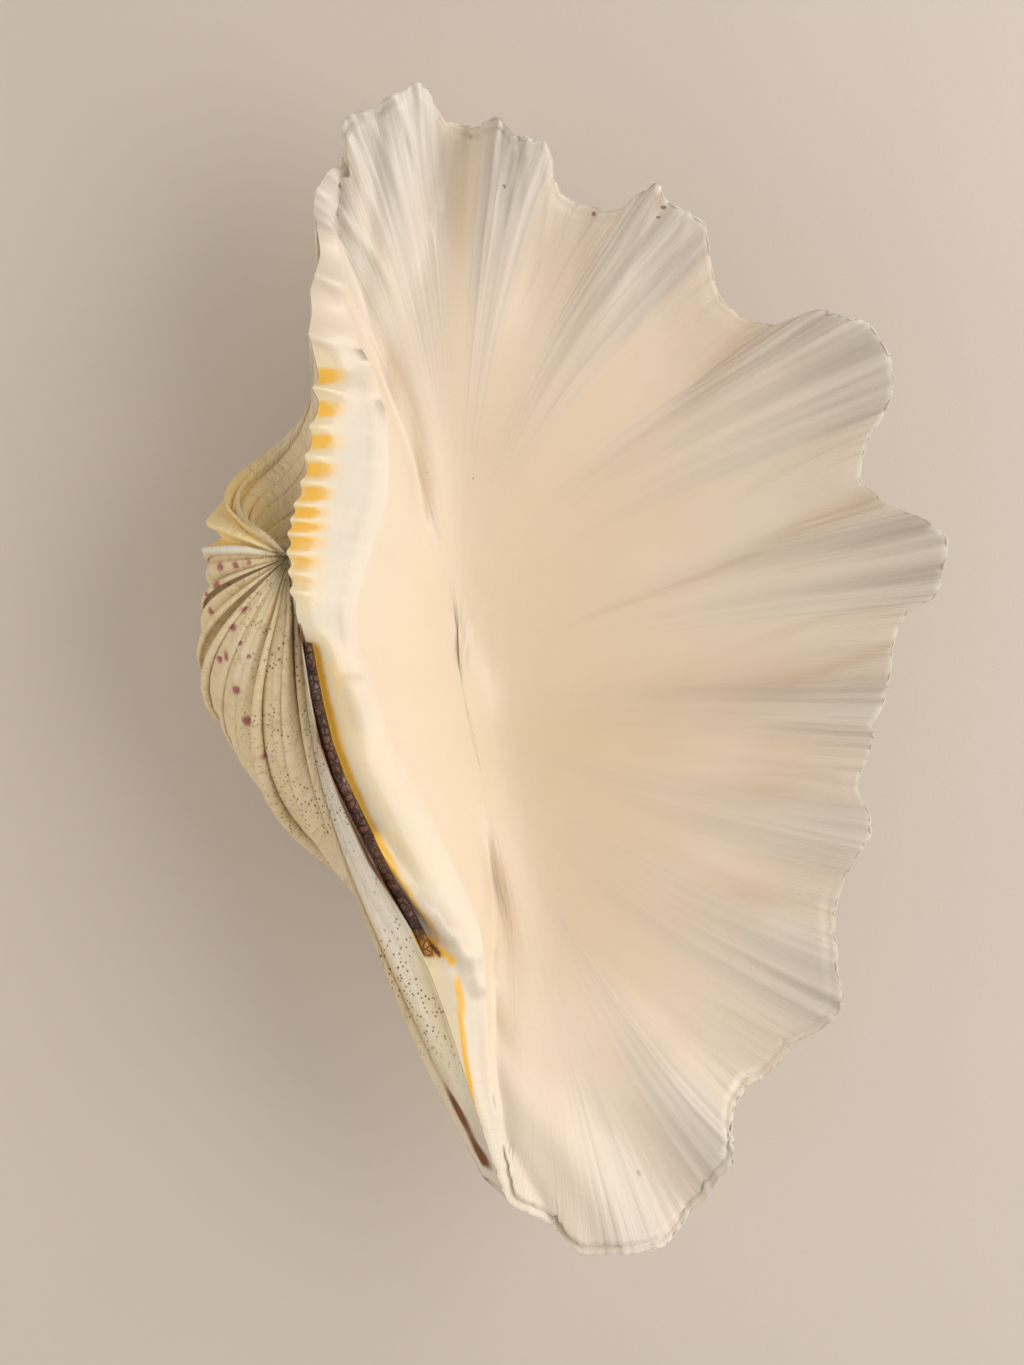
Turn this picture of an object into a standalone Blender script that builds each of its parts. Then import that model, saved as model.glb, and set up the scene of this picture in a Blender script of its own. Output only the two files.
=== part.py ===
"""One valve of a giant clam, lying with its hollow side up, with the dried ligament in its hinge groove.

The rim is traced from a photograph taken from above. The outside is that rim swept back to the beak, turning
about the hinge axis and shrinking, as a shell grows. The inside runs from the rim over the hinge plate or the
folds down into the bowl. +X is the folded lower margin's side, +Y the front end, +Z up.
"""

import math

import bpy
import numpy as np
from mathutils import Vector
from mathutils.bvhtree import BVHTree

# Driving sizes, in millimetres: MM turns them into the scene's metres.
MM = 0.001
EDGE_THICKNESS = 2.2
EDGE_WALL = 3.6
MIDDLE_WALL = 9.0
WALL_SLOPE = 3.0
BOWL_TAPER = 0.45
BOWL_LEAN = 0.35
LEAN_SOFTNESS = 8.0
WALL_ROUND = 9.0
LIP_WIDTH = 2.0
FOLD_SMOOTHING = 16.0
RIM_SMOOTHING = 0.8
FOLD_ROUNDING = 3.5
BULGE = 19.5
BULGE_LENGTH = 42.0
STRIP_FALL = 5.0
GROOVE_DEPTH = 3.2
LIGAMENT_HEIGHT = 2.6
LIGAMENT_GAP = 0.35
CRENULATION_HEIGHT = 1.6
CRENULATION_WIDTH = 1.4
WEAR_HEIGHT = 1.8

# How widely the rim's values are blurred, in millimetres along it.
HEIGHT_BLUR = 2.0
PLATE_BLUR = 2.5
HINGE_BLUR = 6.0
CRENULATION_BLUR = 0.3
CROWD_BLUR = 4.0

# How the outside coils from the rim to the beak: a quick early shrink at the flared margin, then a slow one.
FLARE_SHARE = 0.3
FLARE_SHRINK = 2.2
SHRINK = 0.28
COIL_TURN = math.radians(191)
COIL_END = 4.0
AXIAL_LAG = 20.0
LAG_PEAK = 0.9
LAG_FADE = (3.0, 2.2)
LAG_AT_HINGE = 0.25
HINGE_TILT = math.radians(23)

# The shell's back, in millimetres along the hinge axis from the beak, or across it.
BACK_END = 168.0
BACK_RETURN = 3.0
BACK_RETURN_SPAN = (130, 172)
BULGE_POWER = 1.5
STRIP_WIDTH = (9, 3)
STRIP_START = 4.0
STRIP_STOP = (178, 166)
FALL_START = 30.0
FALL_REACH = 25.0

# How the valve leans where it rests: turned about X, then about Y.
REST_TURN_X = math.radians(-4.7)
REST_TURN_Y = math.radians(1.6)

# The photograph's scale: its middle in pixels, millimetres per pixel at the rim, and the camera's height.
PHOTO_MIDDLE = (512.0, 682.5)
MM_PER_PIXEL = 0.25
CAMERA_HEIGHT = 520.0

# Outline of the rim, clockwise from the beak: pixel x, pixel y, height over the hinge plane in millimetres.
RIM = (
    (288, 556, 2), (289, 532, 2), (295, 505, 2), (303, 478, 2), (310, 430, 1), (316, 402, 1), (313, 388, 3),
    (317, 373, 0), (313, 352, 0), (307, 336, 4), (311, 312, 0), (309, 290, 1), (314, 274, 6), (320, 255, -2),
    (318, 236, -2), (312, 212, 3), (315, 190, 7), (328, 170, 0), (343, 161, -3), (341, 140, 1), (342, 124, 5),
    (352, 110, 8), (364, 112, 7), (377, 106, 4), (386, 98, 6), (391, 94, 9), (405, 91, 8), (411, 82, 9),
    (419, 81, 9), (427, 88, 7), (437, 105, 2), (448, 121, -4), (460, 125, -6), (474, 127, -6), (485, 123, -2),
    (497, 114, 7), (504, 124, 6), (513, 131, 8), (522, 137, 8), (545, 140, 8), (551, 152, 4), (554, 173, -2),
    (561, 195, -8), (580, 203, -9), (600, 208, -8), (622, 210, -4), (636, 195, 2), (654, 187, 8),
    (659, 179, 11), (663, 196, 10), (673, 204, 9), (700, 217, 8), (708, 228, 6), (710, 257, 0), (717, 290, -6),
    (726, 305, -10), (752, 322, -10), (776, 325, -8), (796, 317, -1), (820, 308, 8), (843, 316, 12),
    (869, 322, 11), (884, 342, 10), (896, 371, 7), (892, 400, 3), (878, 426, -1), (867, 444, -5),
    (862, 465, -8), (860, 480, -10), (872, 491, -8), (893, 507, -2), (926, 519, 9), (949, 537, 12),
    (947, 563, 9), (937, 597, 3), (910, 611, -3), (898, 629, -7), (893, 650, -7), (892, 668, -2),
    (889, 690, 4), (884, 706, 6), (875, 722, 5), (875, 740, 1), (867, 760, -5), (859, 780, -7),
    (860, 797, -5), (871, 812, 4), (872, 837, 5), (859, 855, 3), (847, 876, -1), (839, 897, -5),
    (835, 915, -5), (837, 938, 2), (839, 968, 7), (843, 995, 7), (840, 1015, 5), (820, 1031, 1),
    (797, 1042, -2), (784, 1059, -5), (768, 1075, -7), (749, 1088, -7), (737, 1101, -4), (732, 1125, 2),
    (734, 1146, 6), (733, 1165, 7), (717, 1182, 4), (708, 1198, 0), (692, 1210, -3), (681, 1228, -2),
    (665, 1247, 1), (643, 1254, 3), (621, 1255, 3), (605, 1254, 1), (582, 1257, 1), (569, 1245, -1),
    (558, 1232, -2), (542, 1219, -1), (525, 1214, 0), (507, 1203, 0), (494, 1168, 0), (478, 1118, 1),
    (461, 1065, 1), (446, 1018, 1), (430, 975, 2), (412, 935, 2), (382, 883, 2), (350, 820, 2), (330, 778, 2),
    (318, 742, 2), (309, 700, 2), (303, 660, 2), (299, 630, 2), (292, 600, 2),
)
BEAK = (288, 556)
MARGIN_END = (507, 1203, 0)
BOWL_MIDDLE = (458, 700)

# The hinge plate, from the front end round to the back: rim pixel, inner edge pixel, fall to it in millimetres.
PLATE = (
    ((312, 212), (330, 222), 2), ((309, 290), (345, 300), 3), ((313, 352), (365, 350), 5),
    ((313, 388), (378, 393), 8), ((310, 430), (387, 434), 10), ((303, 478), (386, 486), 10),
    ((295, 505), (381, 520), 10), ((289, 532), (372, 545), 10), ((288, 556), (363, 567), 9),
    ((292, 600), (351, 606), 8), ((299, 630), (345, 640), 7), ((303, 660), (360, 664), 7),
    ((309, 700), (377, 700), 7), ((318, 742), (384, 742), 7), ((330, 778), (408, 780), 7),
    ((350, 820), (430, 826), 7), ((382, 883), (462, 889), 7), ((412, 935), (481, 930), 6),
    ((430, 975), (486, 982), 5), ((446, 1018), (486, 1030), 4), ((461, 1065), (489, 1075), 4),
    ((478, 1118), (497, 1122), 3), ((494, 1168), (508, 1165), 2), ((507, 1203), (515, 1196), 1),
)
STEEP_PLATE = (4, 18)

# Rim points over which the plate fades into the lip, and the hinge side into the free margin.
LIP_FADE = 110
HINGE_FADE = (150, 60)
LIP_AIM = 0.95
PLATE_CURVE = 2.2

# Small ridges of the front edge, as pixel heights in the photograph, and the rim pixels where the groove ends.
CRENULATIONS = (391, 427, 457, 483, 505, 520, 534, 553, 573, 592)
CRENULATED_END = 610
FRONT_EDGE = 340
LIGAMENT_SPAN = (640, 958)
GROOVE_FADE = 14
RIDGE_LENGTH = 4.5

# Teeth of the hinge: pixels along each ridge, then its half width and height in millimetres.
TEETH = (
    (((350, 682), (362, 706), (372, 728), (381, 746)), 2.6, 2.4),
    (((374, 842), (405, 888), (430, 913), (454, 939), (478, 968), (484, 990)), 3.0, 3.0),
)

# Fineness of the faceted solid.
RIM_POINTS = 4096
RAYS = 188
FRONT_CROWDING = 0.9
HINGE_THINNING = 0.45
PLATE_STEPS = (0.0, 0.04, 0.07, 0.17, 0.22, 0.55, 1.0)
BOWL_STEPS = (0.06, 0.15, 0.27, 0.42, 0.6, 0.8, 0.96)
COIL_STEPS = tuple(math.radians(a) for a in (0, 8, 22, 38, 56, 76, 97, 118, 138, 155, 168, 178))
FLOOR_STEPS = tuple(math.radians(a) for a in range(0, 112, 8))
GROOVE_ROWS = (1, 4)
LIGAMENT_ROWS = (2, 3)

AXIS = np.array([-math.sin(HINGE_TILT), math.cos(HINGE_TILT)])
ACROSS = np.array([math.cos(HINGE_TILT), math.sin(HINGE_TILT)])


def plan(x, y, height=0.0):
    """Where a pixel of the photograph lies, in millimetres, for a point at this height."""
    scale = MM_PER_PIXEL * (CAMERA_HEIGHT - np.asarray(height)) / CAMERA_HEIGHT
    return np.stack([(np.asarray(x) - PHOTO_MIDDLE[0]) * scale, (PHOTO_MIDDLE[1] - np.asarray(y)) * scale], -1)


def smoothstep(low, high, x):
    t = np.clip((np.asarray(x, float) - low) / (high - low), 0, 1)
    return t * t * (3 - 2 * t)


def smooth_loop(values, width, step):
    """Blurs values along a closed loop of points that are one step apart."""
    count = len(values)
    gain = np.exp(-2 * (math.pi * np.fft.rfftfreq(count, step) * width) ** 2)
    gain = gain[:, None] if values.ndim == 2 else gain
    return np.fft.irfft(np.fft.rfft(values, axis=0) * gain, count, axis=0)


def sample(loop, index):
    """Values between a loop's points."""
    low = np.floor(index).astype(int)
    part = (index - low)[:, None] if loop.ndim == 2 else index - low
    return loop[low % len(loop)] * (1 - part) + loop[(low + 1) % len(loop)] * part


def rim_loop():
    """The rim as evenly spaced points, with how far each lies along it."""
    corners = np.array([(*plan(x, y, z), z) for x, y, z in RIM])
    corners = np.vstack([corners, corners[:1]])
    run = np.concatenate([[0], np.cumsum(np.linalg.norm(np.diff(corners[:, :2], axis=0), axis=1))])
    at = np.linspace(0, run[-1], RIM_POINTS, endpoint=False)
    line = np.stack([np.interp(at, run, corners[:, i]) for i in range(3)], -1)
    return line, run[-1] / RIM_POINTS


def nearest(loop, pixel):
    return int(np.argmin(np.hypot(*(loop[:, :2] - plan(*pixel)).T)))


def toward_middle(flat, left):
    """Moves places in plan toward the middle of the bowl, left being the share of the way that stays."""
    middle = plan(*BOWL_MIDDLE)
    x, y = (flat - middle).T
    after = y * left ** BOWL_TAPER
    lean = [BOWL_LEAN * 0.5 * (np.hypot(v, LEAN_SOFTNESS) - v - LEAN_SOFTNESS) for v in (y, after)]
    return middle + np.column_stack([(x - lean[0]) * left + lean[1], after])


def hinge_side(rim, step):
    """For each rim point: the way across the plate, the fall over it, and how much it belongs to the hinge."""
    places = [nearest(rim, pixel) for pixel, _, _ in PLATE]
    back = (places[0] - np.arange(RIM_POINTS)) % RIM_POINTS
    order = [int(back[i]) for i in places]
    inner = np.array([plan(*pixel) for _, pixel, _ in PLATE]) - rim[places, :2]
    falls = [fall for _, _, fall in PLATE]
    across = np.stack([np.interp(back, order, inner[:, i]) for i in range(2)], -1)
    fall = np.interp(back, order, falls)
    past = np.where(back > order[-1], np.minimum(back - order[-1], RIM_POINTS - back), 0)
    share = 1 - smoothstep(0, LIP_FADE, past)
    front = (back > order[-1]) & (RIM_POINTS - back < back - order[-1])
    across[front] = inner[0]
    fall[front] = falls[0]
    inward = toward_middle(rim[:, :2], np.full(RIM_POINTS, LIP_AIM)) - rim[:, :2]
    inward = LIP_WIDTH * inward / np.linalg.norm(inward, axis=1)[:, None]
    across = across * share[:, None] + inward * (1 - share[:, None])
    across = smooth_loop(across, PLATE_BLUR, step)
    fall = smooth_loop(fall * share + 1 - share, PLATE_BLUR, step)
    steep_from, steep_to = order[STEEP_PLATE[0]], order[STEEP_PLATE[1]]
    hinge = smoothstep(order[0] - HINGE_FADE[0], steep_from, back)
    hinge = smooth_loop(hinge * smoothstep(order[-1] + HINGE_FADE[1], steep_to, back), HINGE_BLUR, step)
    return across, fall, np.clip(hinge, 0, 1)


def bumps(rim, step):
    """Height of the small ridges along the front edge."""
    height = np.zeros(RIM_POINTS)
    pixel_y = PHOTO_MIDDLE[1] - rim[:, 1] / MM_PER_PIXEL
    pixel_x = PHOTO_MIDDLE[0] + rim[:, 0] / MM_PER_PIXEL
    near = (pixel_x < FRONT_EDGE) & (pixel_y < CRENULATED_END)
    for level in CRENULATIONS:
        away = (pixel_y - level) * MM_PER_PIXEL
        height = np.maximum(height, np.where(near, np.exp(-(away / CRENULATION_WIDTH) ** 2), 0))
    return smooth_loop(height, CRENULATION_BLUR, step) * CRENULATION_HEIGHT


def make_rays(count):
    """All that is known at each of the rays that run inward and outward from the rim."""
    line, step = rim_loop()
    rim = smooth_loop(line, RIM_SMOOTHING, step)
    rim[:, 2] = smooth_loop(line[:, 2], HEIGHT_BLUR, step)
    across, fall, hinge = hinge_side(rim, step)
    mean = smooth_loop(line, FOLD_SMOOTHING, step)
    mean[:, 2] = 0
    mean = mean * (1 - hinge[:, None]) + rim * hinge[:, None]
    soft = smooth_loop(line, FOLD_ROUNDING, step)
    ridges = bumps(rim, step)
    pixel_y = PHOTO_MIDDLE[1] - rim[:, 1] / MM_PER_PIXEL
    groove = smoothstep(-GROOVE_FADE, GROOVE_FADE, pixel_y - LIGAMENT_SPAN[0])
    groove = groove * smoothstep(GROOVE_FADE, -GROOVE_FADE, pixel_y - LIGAMENT_SPAN[1]) * (hinge > 0.5)
    length = np.linalg.norm(np.roll(mean[:, :2], -1, 0) - mean[:, :2], axis=1)
    crowd = 1 + FRONT_CROWDING * smoothstep(0, 0.3, smooth_loop(ridges, CROWD_BLUR, step))
    crowd -= HINGE_THINNING * hinge * (ridges < 0.05)
    run = np.concatenate([[0], np.cumsum(length * crowd)])
    index = np.interp(np.linspace(0, run[-1], count, endpoint=False), run, np.arange(len(run)))
    loops = {"rim": rim, "soft": soft, "mean": mean, "across": across, "fall": fall, "hinge": hinge,
             "ridges": ridges, "groove": groove}
    return {name: sample(loop, index) for name, loop in loops.items()}


def bulge(axial):
    """How far the back of the shell stands out beyond the hinge axis, at this place along it."""
    out = 1 - np.exp(-(np.clip(-axial / BULGE_LENGTH, 0, None) ** BULGE_POWER))
    return -BULGE * out + BACK_RETURN * smoothstep(*BACK_RETURN_SPAN, -axial)


def margin_line():
    """The hinge margin behind the beak, as places along and across the hinge axis."""
    last = RIM.index(MARGIN_END)
    back = list(RIM[last + 1:])[::-1] + [MARGIN_END]
    offsets = np.array([plan(x, y, z) for x, y, z in [(*BEAK, 2)] + back]) - plan(*BEAK)
    return -(offsets @ AXIS), offsets @ ACROSS


def coil_size(turn):
    """Size of the growing shell at this turn back from the rim, the full shell being 1."""
    flare = FLARE_SHARE * math.exp(-FLARE_SHRINK * turn) + (1 - FLARE_SHARE) * math.exp(-SHRINK * turn)
    return flare * (1 - (turn / COIL_TURN) ** COIL_END)


def outer_folds(turn):
    """How strong the folds are outside at this turn: they soften below the rim and sharpen on the umbo."""
    return 1 - 0.4 * smoothstep(0, 1.2, turn) + 0.35 * smoothstep(1.4, 2.6, turn)


def inner_folds(turn):
    """How strong the folds are inside: they fade toward the smooth middle of the bowl."""
    return 1 - 0.12 * smoothstep(0, 0.5, turn) - 0.7 * smoothstep(0.35, 1.35, turn)


def outside(rays, turns, folds):
    """Rows of points of the outer face, one for each turn about the hinge axis."""
    beak = plan(*BEAK)
    margin_along, margin_across = margin_line()
    rows = []
    for turn in turns:
        size = coil_size(turn)
        soft = smoothstep(0, 0.6, turn)
        edge = rays["rim"] * (1 - soft) + rays["soft"] * soft
        point = rays["mean"] + (edge - rays["mean"]) * folds(turn)
        offset = point[:, :2] - beak
        along, across, height = offset @ AXIS, offset @ ACROSS, point[:, 2]
        lag = AXIAL_LAG * (turn / LAG_PEAK * math.exp(1 - turn / LAG_PEAK)) ** 2 * smoothstep(*LAG_FADE, turn)
        place = along * size - lag * (LAG_AT_HINGE + (1 - LAG_AT_HINGE) * smoothstep(0, 90, across))
        reach = across - bulge(along)
        outward = reach * size * math.cos(turn) + height * size * math.sin(turn) + bulge(place)
        level = -reach * size * math.sin(turn) + height * size * math.cos(turn)
        fall = smoothstep(0, 0.3, turn) * smoothstep(0, FALL_START, -place)
        level -= STRIP_FALL * fall * np.exp(-reach / FALL_REACH)
        strip_place = along * size
        share = np.clip((1 - size) / np.maximum(1 + strip_place / BACK_END, 1e-3), 0, 1)
        strip_out = np.interp(-strip_place, margin_along, margin_across) * (1 - share)
        strip_out = strip_out + bulge(strip_place) * share
        strip_level = height * size - STRIP_FALL * share ** 1.5 * smoothstep(0, FALL_START, -strip_place)
        near = smoothstep(*STRIP_WIDTH, across - np.interp(-along, margin_along, margin_across))
        strip = near * smoothstep(0, STRIP_START, -along) * smoothstep(*STRIP_STOP, -along)
        place = place * (1 - strip) + strip_place * strip
        outward = outward * (1 - strip) + strip_out * strip
        level = level * (1 - strip) + strip_level * strip - EDGE_THICKNESS
        flat = beak + place[:, None] * AXIS + outward[:, None] * ACROSS
        rows.append(np.column_stack([flat, level]))
    return rows


def ridge_profile(points, line, half_width):
    """1 on a line through pixels of the photograph, falling to 0 at half_width from it."""
    corners = np.array([plan(*pixel) for pixel in line])
    best = np.full(len(points), np.inf)
    for start, stop in zip(corners[:-1], corners[1:]):
        way = stop - start
        part = np.clip(((points[:, :2] - start) @ way) / (way @ way), 0, 1)
        best = np.minimum(best, np.hypot(*(points[:, :2] - start - part[:, None] * way).T))
    return 0.5 + 0.5 * np.cos(math.pi * np.clip(best / half_width, 0, 1))


def floor_finder(rows):
    """A function that gives the height of the outer face straight below places in plan."""
    points, faces = loft(rows, rows[0].mean(0), rows[-1].mean(0))
    skin = [face for face in faces if 0 not in face and len(points) - 1 not in face]
    tree = BVHTree.FromPolygons(points.tolist(), skin)

    def floor(flat):
        levels = np.empty(len(flat))
        for i, (x, y) in enumerate(flat):
            hit = tree.ray_cast(Vector((x, y, -500)), Vector((0, 0, 1)))[0]
            levels[i] = hit.z if hit else np.nan
        return np.where(np.isnan(levels), np.nanmean(levels), levels)

    return floor


def inside(rays, plate_steps, bowl_steps):
    """Rows of points of the inner face, from the rim to near the middle of the bowl."""
    rim, hinge = rays["rim"], rays["hinge"]
    wide = np.linalg.norm(rays["across"], axis=1)
    rows = []
    for part in plate_steps:
        point = rim.copy()
        point[:, :2] += rays["across"] * part
        point[:, 2] -= rays["fall"] * part ** PLATE_CURVE
        point[:, 2] += rays["ridges"] * np.exp(-(part * wide / RIDGE_LENGTH) ** 2)
        rows.append(point)
    first, last = GROOVE_ROWS
    for row in rows[first:last + 1]:
        row[:, 2] -= GROOVE_DEPTH * rays["groove"]
    start = rows[-1]
    floor = floor_finder(outside(rays, FLOOR_STEPS, inner_folds))
    for part in bowl_steps:
        flat = toward_middle(start[:, :2], 1 - part * (1 - hinge) - part ** 1.9 * hinge)
        wall = EDGE_WALL + (MIDDLE_WALL - EDGE_WALL) * smoothstep(0, 0.6, part)
        level = floor(flat) + wall
        away = np.linalg.norm(flat - start[:, :2], axis=1)
        drop = start[:, 2] - WALL_SLOPE * away ** 2 / (away + 1.5)
        raised = 0.5 * (level + drop + np.sqrt((level - drop) ** 2 + WALL_ROUND ** 2))
        level = level + (raised - level) * hinge
        rows.append(np.column_stack([flat, level]))
    for line, half_width, height in TEETH:
        for row in rows[2:len(plate_steps) + 2]:
            row[:, 2] += height * ridge_profile(row, line, half_width)
    return rows


def at_rest(points):
    """Turns points from the hinge plane's frame to the way the valve lies."""
    cx, sx = math.cos(REST_TURN_X), math.sin(REST_TURN_X)
    cy, sy = math.cos(REST_TURN_Y), math.sin(REST_TURN_Y)
    about_x = np.array([[1, 0, 0], [0, cx, -sx], [0, sx, cx]])
    about_y = np.array([[cy, 0, sy], [0, 1, 0], [-sy, 0, cy]])
    return points @ (about_y @ about_x).T


def loft(rows, first_cap, last_cap):
    """Points and faces of a closed skin through rows of equal length, with a point at each end."""
    count = len(rows[0])
    points = np.vstack([first_cap[None], *rows, last_cap[None]])
    faces = []
    for ray in range(count):
        after = (ray + 1) % count
        faces.append((0, 1 + ray, 1 + after))
        for row in range(len(rows) - 1):
            a, b = 1 + row * count + ray, 1 + row * count + after
            faces.append((a, a + count, b + count, b))
        end = 1 + (len(rows) - 1) * count
        faces.append((end + after, end + ray, len(points) - 1))
    return points, faces


def add_object(name, points, faces, material):
    mesh = bpy.data.meshes.new(name)
    mesh.from_pydata((points * MM).tolist(), [], faces)
    mesh.materials.append(material)
    mesh.shade_smooth()
    obj = bpy.data.objects.new(name, mesh)
    bpy.context.scene.collection.objects.link(obj)
    return obj


def make_material(name, colour, roughness):
    material = bpy.data.materials.new(name)
    material.use_nodes = True
    surface = material.node_tree.nodes["Principled BSDF"]
    surface.inputs["Base Color"].default_value = (*colour, 1)
    surface.inputs["Roughness"].default_value = roughness
    surface.inputs["Metallic"].default_value = 0.0
    return material


def shell_skin(rays):
    outer = outside(rays, COIL_STEPS, outer_folds)
    inner = inside(rays, PLATE_STEPS, BOWL_STEPS)
    beak_end = np.array([*plan(*BEAK), -EDGE_THICKNESS])
    bowl_end = inner[-1].mean(0)
    return outer, inner, beak_end, bowl_end


def ligament_skin(inner, rays):
    """A strip that follows the groove's floor just above it, thinning to both ends."""
    first, last = LIGAMENT_ROWS
    span = np.nonzero(rays["groove"] > 0.55)[0]
    floor = np.array([inner[row][span] for row in range(first, last + 1)])
    floor[..., 2] += LIGAMENT_GAP
    thick = 0.5 + LIGAMENT_HEIGHT * smoothstep(0.55, 1.0, rays["groove"][span])
    top = floor.copy()
    top[..., 2] += thick
    return floor, top


def strip_faces(wide, long):
    """Faces of a closed slab: a lower and an upper grid of points, joined round their edge."""
    upper = wide * long
    faces = []
    for i in range(wide - 1):
        for j in range(long - 1):
            a, b, c, d = i * long + j, i * long + j + 1, (i + 1) * long + j + 1, (i + 1) * long + j
            faces.append((a, b, c, d))
            faces.append((upper + d, upper + c, upper + b, upper + a))
    edge = [j for j in range(long)] + [i * long + long - 1 for i in range(1, wide)]
    edge += [(wide - 1) * long + j for j in range(long - 2, -1, -1)] + [i * long for i in range(wide - 2, 0, -1)]
    for a, b in zip(edge, edge[1:] + edge[:1]):
        faces.append((b, a, upper + a, upper + b))
    return faces


def build():
    for obj in list(bpy.data.objects):
        bpy.data.objects.remove(obj, do_unlink=True)
    rays = make_rays(RAYS)
    outer, inner, beak_end, bowl_end = shell_skin(rays)
    points, faces = loft(outer[::-1] + inner, beak_end, bowl_end)
    points = at_rest(points)
    low = points[:, 2].min() + WEAR_HEIGHT
    middle = (points[:, :2].min(0) + points[:, :2].max(0)) / 2
    shift = np.array([*middle, low])
    points = points - shift
    points[:, 2] = np.maximum(points[:, 2], 0)
    add_object("shell", points, faces, make_material("shell_lime", (0.88, 0.82, 0.74), 0.42))
    floor, top = ligament_skin(inner, rays)
    slab = np.vstack([floor.reshape(-1, 3), top.reshape(-1, 3)])
    slab = at_rest(slab) - shift
    horn = make_material("ligament_horn", (0.13, 0.05, 0.025), 0.6)
    add_object("ligament", slab, strip_faces(floor.shape[0], floor.shape[1]), horn)


build()
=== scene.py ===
"""The looks of one giant clam valve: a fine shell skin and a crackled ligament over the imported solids.

The form follows the solids' own formulas with finer steps, and gets striae, riblets, growth lines and chips.
Lengths are in millimetres in the shell's hinge plane frame, and turn into metres when a mesh is made.
"""

import math

import bpy
import numpy as np
from mathutils import Matrix, Vector
from mathutils.bvhtree import BVHTree


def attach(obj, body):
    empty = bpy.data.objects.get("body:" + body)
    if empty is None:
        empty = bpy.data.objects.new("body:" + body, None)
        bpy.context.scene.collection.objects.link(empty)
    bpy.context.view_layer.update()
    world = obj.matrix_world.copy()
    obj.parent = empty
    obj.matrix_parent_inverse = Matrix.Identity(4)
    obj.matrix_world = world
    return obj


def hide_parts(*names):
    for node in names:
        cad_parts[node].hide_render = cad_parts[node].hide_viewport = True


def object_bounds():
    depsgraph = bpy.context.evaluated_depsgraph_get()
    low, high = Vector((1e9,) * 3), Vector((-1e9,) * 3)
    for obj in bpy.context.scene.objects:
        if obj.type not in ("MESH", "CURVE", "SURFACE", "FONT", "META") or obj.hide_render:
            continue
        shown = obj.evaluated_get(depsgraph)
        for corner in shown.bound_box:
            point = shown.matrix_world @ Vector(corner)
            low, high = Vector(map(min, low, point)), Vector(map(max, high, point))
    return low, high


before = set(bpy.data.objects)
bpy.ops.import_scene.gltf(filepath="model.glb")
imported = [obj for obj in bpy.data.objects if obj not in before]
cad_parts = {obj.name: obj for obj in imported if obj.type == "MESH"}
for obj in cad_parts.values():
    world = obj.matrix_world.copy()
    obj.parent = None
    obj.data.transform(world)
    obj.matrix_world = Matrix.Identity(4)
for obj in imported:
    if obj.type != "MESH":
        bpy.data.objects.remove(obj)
cad_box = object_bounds()

MM = 0.001
EDGE_THICKNESS = 2.2
EDGE_WALL = 3.6
MIDDLE_WALL = 9.0
MIDDLE_FROM = 0.6
WALL_SLOPE = 3.0
WALL_EASE = 1.5
BOWL_TAPER = 0.45
BOWL_LEAN = 0.35
LEAN_SOFTNESS = 8.0
EVEN_FROM = 0.015
WALL_ROUND = 9.0
LIP_WIDTH = 2.0
FOLD_SMOOTHING = 16.0
RIM_SMOOTHING = 0.8
FOLD_ROUNDING = 3.5
BULGE = 19.5
BULGE_LENGTH = 42.0
BULGE_RETURN = 3.0
RETURN_SPAN = (130, 172)
STRIP_FALL = 5.0
STRIP_REACH = 25.0
STRIP_START = (0, 30)
STRIP_WIDTH = (9, 3)
STRIP_END = (178, 166)
MARGIN_LENGTH = 168.0
GROOVE_DEPTH = 3.2
LIGAMENT_HEIGHT = 2.6
LIGAMENT_GAP = 0.35
CRENULATION_HEIGHT = 1.6
CRENULATION_WIDTH = 1.4
CRENULATION_REACH = 4.5
PLATE_CURVE = 2.2
HINGE_PACE = 1.9
WEAR_HEIGHT = 1.8

FLARE_SHARE = 0.3
FLARE_SHRINK = 2.2
SHRINK = 0.28
COIL_TURN = math.radians(191)
COIL_END = 4.0
AXIAL_LAG = 20.0
LAG_PEAK = 0.9
LAG_FADE = (3.0, 2.2)
LAG_AT_HINGE = 0.25
LAG_REACH = 90
HINGE_TILT = math.radians(23)

REST_TURN_X = math.radians(-4.7)
REST_TURN_Y = math.radians(1.6)

PHOTO_SIZE = (1024, 1365)
PHOTO_MIDDLE = (512.0, 682.5)
MM_PER_PIXEL = 0.25
CAMERA_HEIGHT = 520.0

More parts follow.
